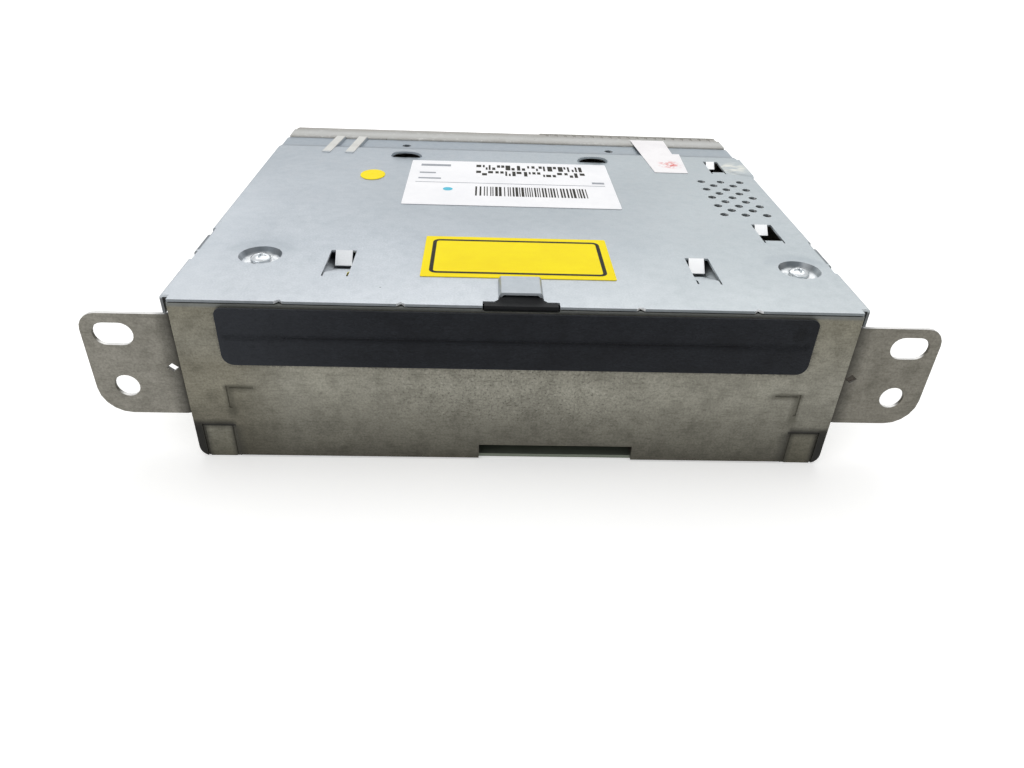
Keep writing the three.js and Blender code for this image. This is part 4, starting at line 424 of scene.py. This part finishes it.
# Which pieces have which finish, each with the width in millimetres that its edges are softened by.
# Those that aren't named are bright zinc-plated steel
pieceLooks = {
    "electroZincSteel": {"top_cover": 0.16},
    "galvanisedPlate": {"front_panel": 0.14},
    "galvanisedTray": {"case_tray": 0.2, "drive_frame": 0.12, "clamp_arm": 0.1, "roller_bracket": 0.1},
    "galvanisedBracket": {"left_bracket": 0.2, "right_bracket": 0.2},
    "dieCastAluminium": {"rear_heat_sink": 0.22, "processor_spreader": 0.15},
    "pressedFelt": {"dust_seal": 0.12},
    "blackNylon": {"trim_catch": 0.25, "main_connector": 0.2, "upper_disc_guide": 0.15, "turntable": 0.12,
                   "pickup_sled": 0.2},
    "greyNylon": {"display_socket": 0.2, "data_socket": 0.2},
    "naturalAcetal": {"radio_antenna_socket": 0.2, "position_antenna_socket": 0.2, "clamp_puck": 0.12,
                      "roller_gear": 0.04, "upper_idler_gear": 0.04, "lower_idler_gear": 0.04,
                      "motor_pinion": 0.04, "mode_slide": 0.1},
    "coatedPaper": {"rating_label": 0.03},
    "yellowFilm": {"warning_label": 0.03, "round_label": 0.03},
    "sealPaper": {"seal_label": 0.03},
    "solderMaskBoard": {"main_board": 0.1, "drive_board": 0.1},
    "epoxyMoulding": {"amplifier_chip": 0.2, "filter_capacitor_1": 0.2, "filter_capacitor_2": 0.2},
    "nitrileRubber": {"loading_roller": 0.3, "damper_front_left": 0.3, "damper_front_right": 0.3,
                      "damper_rear_left": 0.3, "damper_rear_right": 0.3},
    "enamelledCopper": {"power_coil": 0.3},
    "coatedGlass": {"objective_lens": 0.1},
    "polyimideFilm": {"flex_cable": 0.05},
}
edgeAngle = math.radians(38)
behaviour = frame["record"]["behaviour"]
bodyOf = {node: body for body, members in behaviour["bodies"].items() for node in members}
finishOf = {node: (finish, width) for finish, rows in pieceLooks.items() for node, width in rows.items()}
# The dampers and the flexible cable give as the drive floats, with one end of each at the case; here they
# are only kept out of the bodies, and nothing bends them
fixedEnds = {row["node"]: row["fixed_end_z_m"] for joint in behaviour["joints"]
             for row in joint.get("deforming_nodes", [])}


# The case's front tabs are rolled over at their rims by more than the other edges. Millimetres of the part
tabLook = {"node": "case_tray", "front": -81.45, "slack": 0.01, "beyond": 78, "above": 5, "roll": 0.6}
# How near two points are joined, in metres, and how flat a face is kept whole
weldGap = 2e-6
flatAngle = math.radians(0.4)


# Whether an edge is on a front tab's rim
def onRim(edge):
    if len(edge.link_faces) != 2 or edge.calc_face_angle(0) <= edgeAngle:
        return False
    points = [vert.co * 1000 for vert in edge.verts]
    return max(point.z for point in points) > tabLook["above"] and all(
        abs(point.y - tabLook["front"]) < tabLook["slack"] and abs(point.x) > tabLook["beyond"]
        for point in points)


# Joins the triangles of each flat face, and rolls the rims of the front tabs
def cleanMesh(mesh, tabs):
    work = bmesh.new()
    work.from_mesh(mesh)
    bmesh.ops.remove_doubles(work, verts=work.verts, dist=weldGap)
    bmesh.ops.dissolve_limit(work, angle_limit=flatAngle, verts=work.verts, edges=work.edges)
    if tabs:
        bmesh.ops.bevel(work, geom=[edge for edge in work.edges if onRim(edge)], affect="EDGES",
                        offset=tabLook["roll"] / 1000, segments=4, profile=0.5)
    work.to_mesh(mesh)
    work.free()


# Each solid is dressed as a copy with flat faces joined and edges softened
def dressNode(name, material, width):
    mesh = nodes[name].data.copy()
    cleanMesh(mesh, name == tabLook["node"])
    mesh.materials.clear()
    mesh.materials.append(material)
    piece = bpy.data.objects.new(name + "_dressed", mesh)
    bpy.context.scene.collection.objects.link(piece)
    bevel = piece.modifiers.new("softEdge", "BEVEL")
    bevel.width = width / 1000
    bevel.segments = 2
    bevel.limit_method = "ANGLE"
    bevel.angle_limit = edgeAngle
    bevel.use_clamp_overlap = True
    shaped = piece.evaluated_get(bpy.context.evaluated_depsgraph_get())
    piece.data = bpy.data.meshes.new_from_object(shaped)
    piece.modifiers.clear()
    piece.data.polygons.foreach_set("use_smooth", [True] * len(piece.data.polygons))
    piece.data.set_sharp_from_angle(angle=edgeAngle)
    weighted = piece.modifiers.new("flatFaces", "WEIGHTED_NORMAL")
    weighted.keep_sharp = True
    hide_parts(name)
    if name in fixedEnds:
        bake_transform(piece)
    else:
        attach(piece, bodyOf[name])


plainFinish = ("brightZincSteel", 0.15)
for name in sorted(nodes):
    finish, width = finishOf.get(name, plainFinish)
    dressNode(name, finishes[finish], width)
print("stage 3: pieces dressed")


def addPiece(name, work, finish, body):
    mesh = bpy.data.meshes.new(name)
    work.to_mesh(mesh)
    work.free()
    mesh.materials.append(finishes[finish])
    piece = bpy.data.objects.new(name, mesh)
    bpy.context.scene.collection.objects.link(piece)
    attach(piece, body)


# Felt fibres: short loose hairs that stand off the strip's face, its slit and its edges, in millimetres
fibreLook = {
    "face": 2600, "slit": 6200, "edge": 1500, "length": (0.5, 1.5), "width": 0.045, "inset": 1.2,
    "lift": 0.22, "slitLift": 0.06, "edgeLift": 0.04, "slitRise": 0.1, "slitSpread": 0.45,
    "lean": 0.8, "slitLean": (0.5, 2.6), "topLean": 0.15, "sideLean": 1.2,
    "taper": 0.35, "curl": 0.18, "turn": 2.2, "turnSpread": 0.3, "arch": 2.5, "edgeShare": 0.45, "seed": 11,
}


def feltFibres():
    look = fibreLook
    draw = random.Random(look["seed"])
    low, high = [Vector(corner) * 1000 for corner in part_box("dust_seal")]
    slitHeight = low.z / 2 + high.z / 2 + look["slitRise"]
    work = bmesh.new()

    def addFibre(start, angle, length, lift):
        heading = Vector((math.cos(angle), 0, math.sin(angle))) * length
        side = Vector((-math.sin(angle), 0, math.cos(angle)))
        rows = []
        for step in range(3):
            share = step / 2
            turn = share * look["turn"] + draw.uniform(-look["turnSpread"], look["turnSpread"])
            bend = side * math.sin(turn) * length * look["curl"]
            point = start + heading * share + bend - Vector((0, lift * math.sin(share * look["arch"]), 0))
            half = side * look["width"] / 2 * (1 - step * look["taper"])
            rows.append([work.verts.new((point + half * sign) / 1000) for sign in (-1, 1)])
        for first, second in zip(rows, rows[1:]):
            work.faces.new((first[0], first[1], second[1], second[0]))

    inset = look["inset"]
    for index in range(look["face"] + look["slit"]):
        height = draw.uniform(low.z + inset, high.z - inset)
        angle = draw.gauss(0, look["lean"]) + draw.choice((0, math.pi))
        if index >= look["face"]:
            height = slitHeight + draw.uniform(-look["slitSpread"], look["slitSpread"])
            angle = draw.choice((-1, 1)) * draw.uniform(*look["slitLean"])
        start = Vector((draw.uniform(low.x + inset, high.x - inset), low.y - 0.01, height))
        lift = look["lift"] if index < look["face"] else look["slitLift"]
        addFibre(start, angle, draw.uniform(*look["length"]), draw.uniform(0.2, 1) * lift)
    # The strip's edges: top, bottom, left and right, each with the side that its hairs point to
    width, height = high.x - low.x - 2 * inset, high.z - low.z - 2 * inset
    for index in range(look["edge"]):
        run = draw.uniform(0, 2 * (width + height))
        if run < 2 * width:
            side = 1 if run < width else -1
            start = Vector((low.x + inset + run % width, low.y, high.z if side > 0 else low.z))
            angle = side * draw.uniform(look["topLean"], math.pi - look["topLean"])
        else:
            side = 1 if run < 2 * width + height else -1
            up = low.z + inset + (run - 2 * width) % height
            start = Vector((high.x if side > 0 else low.x, low.y, up))
            angle = draw.uniform(-look["sideLean"], look["sideLean"]) + (0 if side > 0 else math.pi)
        addFibre(start, angle, draw.uniform(*look["length"]) * look["edgeShare"], look["edgeLift"])
    addPiece("felt_fibres", work, "pressedFelt", "case")


feltFibres()
print("stage 4: felt fibres laid")

# Prints on the labels: plain bars, blocks, rules and a frame of thin ink, with no lettering.
# Places are shares of the label's width and depth, and sizes are in millimetres
printLook = {
    "height": 0.025, "seed": 5, "dot": 1.7, "dotSides": 28, "dotAt": (0.2, 0.33),
    "bars": (0.33, 0.86, 0.2, 0.4), "barWidths": (0.35, 0.35, 0.6, 0.9), "barGaps": (0.4, 0.6, 0.9),
    "blockRows": ((0.33, 0.86, 0.8, 0.92), (0.33, 0.86, 0.66, 0.77)),
    "notes": ((0.05, 0.2, 0.86, 0.91), (0.05, 0.13, 0.68, 0.71), (0.05, 0.16, 0.55, 0.58),
              (0.9, 0.96, 0.52, 0.56), (0.04, 0.96, 0.47, 0.48)),
    "frameInset": 2.2, "frameBand": 1.1, "frameCorner": 2.1,
}


def addBar(work, x, y, z):
    work.faces.new([work.verts.new(point) for point in (
        (x[0], y[0], z), (x[1], y[0], z), (x[1], y[1], z), (x[0], y[1], z))])


def ratingPrint():
    look = printLook
    draw = random.Random(look["seed"])
    low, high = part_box("rating_label")
    z = high.z + look["height"] / 1000
    size = high - low
    bars = bmesh.new()
    for left, right, front, rear in (look["bars"], *look["blockRows"]):
        x = low.x + size.x * left
        ends = (low.y + size.y * front, low.y + size.y * rear)
        whole = (left, right, front, rear) == look["bars"]
        while x < low.x + size.x * right:
            width = draw.choice(look["barWidths"]) / 1000 * (1 if whole else 2)
            middle = (ends[0] + ends[1]) / 2
            span = ends if whole else draw.choice((ends, (middle, ends[1]), (ends[0], middle)))
            addBar(bars, (x, x + width), span, z)
            x += width + draw.choice(look["barGaps"]) / 1000
    addPiece("rating_bars", bars, "darkInk", "case")
    notes = bmesh.new()
    for left, right, front, rear in look["notes"]:
        addBar(notes, (low.x + size.x * left, low.x + size.x * right),
               (low.y + size.y * front, low.y + size.y * rear), z)
    addPiece("rating_notes", notes, "greyInk", "case")
    dot = bmesh.new()
    across, back = look["dotAt"]
    bmesh.ops.create_circle(dot, cap_ends=True, segments=look["dotSides"], radius=look["dot"] / 1000,
                            matrix=Matrix.Translation((low.x + size.x * across, low.y + size.y * back, z)))
    addPiece("rating_dot", dot, "cyanInk", "case")


# A thin rounded frame, drawn as one closed band
def warningFrame():
    look = printLook
    low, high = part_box("warning_label")
    z = high.z + look["height"] / 1000
    work = bmesh.new()

    def outline(gap, corner):
        points = []
        for quarter in range(4):
            x = high.x - gap - corner if quarter in (0, 3) else low.x + gap + corner
            y = high.y - gap - corner if quarter < 2 else low.y + gap + corner
            for step in range(7):
                angle = (quarter + step / 6) * math.pi / 2
                points.append((x + corner * math.cos(angle), y + corner * math.sin(angle), z))
        return [work.verts.new(point) for point in points]

    inset, band, corner = [look[name] / 1000 for name in ("frameInset", "frameBand", "frameCorner")]
    outer, inner = outline(inset, corner), outline(inset + band, corner - band)
    for index in range(len(outer)):
        after = (index + 1) % len(outer)
        work.faces.new((outer[index], outer[after], inner[after], inner[index]))
    addPiece("warning_frame", work, "darkInk", "case")


ratingPrint()
warningFrame()
print("stage 5: label prints laid")

# Sheet details that are too thin for the solids: the sides of the two front hooks' floors, strips in the
# seams round the case's front tabs that carry painted shade, and the cast rib that ties the fins.
# Millimetres of the part
detailLook = {
    "hookMiddles": (-49.7, 52.1), "floorSheet": 0.35,
    "floorAcross": ((2.7, -0.9), (4.2, -0.1), (5.8, 0.7)),
    "floorAlong": ((-62.6, 48.2), (-58.0, 47.3), (-52.6, 46.6), (-41.0, 46.5)),
    "seamAcross": ((77.74, -81.42), (78.15, -81.2), (78.57, -81.3)), "seamSheet": 0.5,
    "seamTop": (10.43, 11.07), "seamFoot": 0.02, "seamEnd": 86.8,
    "seamOuter": ((85.9, -81.02), (86.86, -81.2)),
    "ribFrom": 13.6, "ribTo": 89.8,
    "ribProfile": ((76.5, 46.4), (76.5, 47.9), (81.3, 48.1), (81.7, 48.6), (82.3, 48.6), (82.6, 48.2),
                   (82.6, 46.4)),
}


# Joins loops of points, one after another, into a closed strip
def addStrip(work, loops):
    rings = [[work.verts.new(Vector(point) / 1000) for point in loop] for loop in loops]
    for first, second in zip(rings, rings[1:]):
        for index in range(len(first)):
            after = (index + 1) % len(first)
            work.faces.new((first[index], first[after], second[after], second[index]))
    for ring in (rings[0], rings[-1]):
        work.faces.new(ring)
    bmesh.ops.recalc_face_normals(work, faces=work.faces)


def sheetDetails():
    look = detailLook
    floors = bmesh.new()
    for middle in look["hookMiddles"]:
        for side in (-1, 1):
            loops = []
            for y, z in look["floorAlong"]:
                upper = [(middle + side * across, y, z + lift) for across, lift in look["floorAcross"]]
                loops.append(upper + [(x, y, height - look["floorSheet"]) for x, y, height in upper[::-1]])
            addStrip(floors, loops)
    addPiece("hook_floors", floors, "electroZincSteel", "case")
    # strips filling the seams round the front tabs, darkened by painted shade from the tray finish
    seams = bmesh.new()
    near, middle, far = look["seamAcross"]
    inner, outer = look["seamOuter"]
    low, high = look["seamTop"]
    sheet = look["seamSheet"]
    innerEdge = [near, middle, far, (far[0], far[1] + sheet), (near[0], near[1] + sheet)]
    outerEdge = [inner, outer, (outer[0], inner[1] + sheet), (inner[0], inner[1] + sheet)]
    topEdge = [(far[1], low), (middle[1], (low + high) / 2), (near[1], high), (near[1] + sheet, high),
               (far[1] + sheet, low)]
    for side in (-1, 1):
        for upright in (innerEdge, outerEdge):
            addStrip(seams, [[(side * x, y, z) for x, y in upright] for z in (look["seamFoot"], low)])
        addStrip(seams, [[(side * x, y, z) for y, z in topEdge] for x in (near[0], look["seamEnd"])])
    addPiece("tab_seams", seams, "galvanisedTray", "case")
    rib = bmesh.new()
    addStrip(rib, [[(x, y, z) for y, z in look["ribProfile"]] for x in (look["ribFrom"], look["ribTo"])])
    addPiece("fin_rib", rib, "dieCastAluminium", "case")


sheetDetails()
print("stage 6: sheet details laid")

# Stage: a white paper floor that keeps a soft shadow and reads as plain white where it is seen or mirrored.
# Away from the part it glows a little more for the camera alone, so that no horizon shows. Metres
stageLook = {
    "floor": "#f6f6f5", "fibre": "#f2f2f1", "fibreScale": 25.0, "roughness": 0.9,
    "size": 6.0, "below": 0.0002, "glow": 0.38, "fadeFrom": 0.25, "fadeTo": 0.7, "farGlow": 0.4,
    "seen": 1.0, "light": 0.55,
}


# How much a ray counts as seen: from the camera, mirrored or through glass
def seenShare(tree):
    share = addNode(tree, "LightPath", "Is Camera Ray")
    rays = share.node.outputs
    for name in ("Is Glossy Ray", "Is Transmission Ray"):
        share = addNode(tree, "Math", "Value", {0: share, 1: rays[name]}, operation="MAXIMUM")
    return share


def whiteFloor():
    look = stageLook
    material = bpy.data.materials.new("studioPaper")
    material.use_nodes = True
    tree = material.node_tree
    shader = tree.nodes["Principled BSDF"]
    shader.inputs["Roughness"].default_value = look["roughness"]
    shader.inputs["Specular IOR Level"].default_value = 0.0
    place = addNode(tree, "TexCoord", "Object")
    fibre = addNode(tree, "TexNoise", "Fac", {"Vector": place, "Scale": look["fibreScale"], "Detail": 3.0})
    tree.links.new(addNode(tree, "Mix", 2, {
        0: fibre, 6: toLinear(look["floor"]), 7: toLinear(look["fibre"])}, data_type="RGBA"),
        shader.inputs["Base Color"])
    near = addNode(tree, "Math", "Value", {0: seenShare(tree), 1: look["glow"]}, operation="MULTIPLY")
    away = addNode(tree, "MapRange", "Result", {
        "Value": addNode(tree, "VectorMath", "Value", {0: place}, operation="LENGTH"),
        "From Min": look["fadeFrom"], "From Max": look["fadeTo"], "To Max": look["farGlow"]})
    far = addNode(tree, "Math", "Value", {
        0: away, 1: addNode(tree, "LightPath", "Is Camera Ray")}, operation="MULTIPLY")
    power = addNode(tree, "Math", "Value", {0: near, 1: far}, operation="ADD")
    glow = addNode(tree, "Emission", "Emission", {"Strength": power})
    both = addNode(tree, "AddShader", "Shader", {0: shader.outputs[0], 1: glow})
    tree.links.new(both, tree.nodes["Material Output"].inputs["Surface"])
    half = look["size"] / 2
    corners = [(-half, -half, 0), (half, -half, 0), (half, half, 0), (-half, half, 0)]
    mesh = bpy.data.meshes.new("studio_floor")
    mesh.from_pydata(corners, [], [(0, 1, 2, 3)])
    mesh.materials.append(material)
    floor = bpy.data.objects.new("studio_floor", mesh)
    floor.location.z = cadBox[0][2] - look["below"]
    bpy.context.scene.collection.objects.link(floor)


def softWorld():
    world = bpy.data.worlds.new("softWorld")
    bpy.context.scene.world = world
    world.use_nodes = True
    tree = world.node_tree
    background = tree.nodes["Background"]
    background.inputs["Color"].default_value = (1, 1, 1, 1)
    tree.links.new(addNode(tree, "MapRange", "Result", {
        "Value": seenShare(tree), "To Min": stageLook["light"], "To Max": stageLook["seen"]}),
        background.inputs["Strength"])


# Lamps: a broad one above and behind, and a weak one from the front left. Metres and watts
lampAim = (0, 0, 0.02)
lampLooks = {
    "overheadLamp": {"place": (0.05, 0.5, 0.95), "size": 1.3, "power": 6.5},
    "frontLamp": {"place": (-0.7, -0.9, 0.7), "size": 0.9, "power": 3.0},
}


def addLamps():
    for name, look in lampLooks.items():
        lamp = bpy.data.lights.new(name, "AREA")
        lamp.size = look["size"]
        lamp.energy = look["power"]
        holder = bpy.data.objects.new(name, lamp)
        holder.location = look["place"]
        aim = Vector(lampAim) - holder.location
        holder.rotation_euler = aim.to_track_quat("-Z", "Y").to_euler()
        bpy.context.scene.collection.objects.link(holder)


# Camera: the photograph's own place and lens, worked out from the case's corners
photoView = {
    "place": (-0.00972, -0.25457, 0.13935), "ahead": (0.0392, 0.8356, -0.5479),
    "up": (-0.0168, 0.5488, 0.8358), "lens": 26.92, "sensor": 36.0, "near": 0.01,
}


def addCamera():
    ahead = Vector(photoView["ahead"]).normalized()
    right = ahead.cross(Vector(photoView["up"])).normalized()
    camera = bpy.data.cameras.new("photoCamera")
    camera.lens = photoView["lens"]
    camera.sensor_width = photoView["sensor"]
    camera.clip_start = photoView["near"]
    holder = bpy.data.objects.new("photoCamera", camera)
    turn = Matrix((right, right.cross(ahead), -ahead)).transposed().to_4x4()
    holder.matrix_world = Matrix.Translation(photoView["place"]) @ turn
    bpy.context.scene.collection.objects.link(holder)
    bpy.context.scene.camera = holder


whiteFloor()
softWorld()
addLamps()
addCamera()
bpy.context.scene.view_settings.view_transform = "Standard"
print("stage 7: floor, light and camera set")
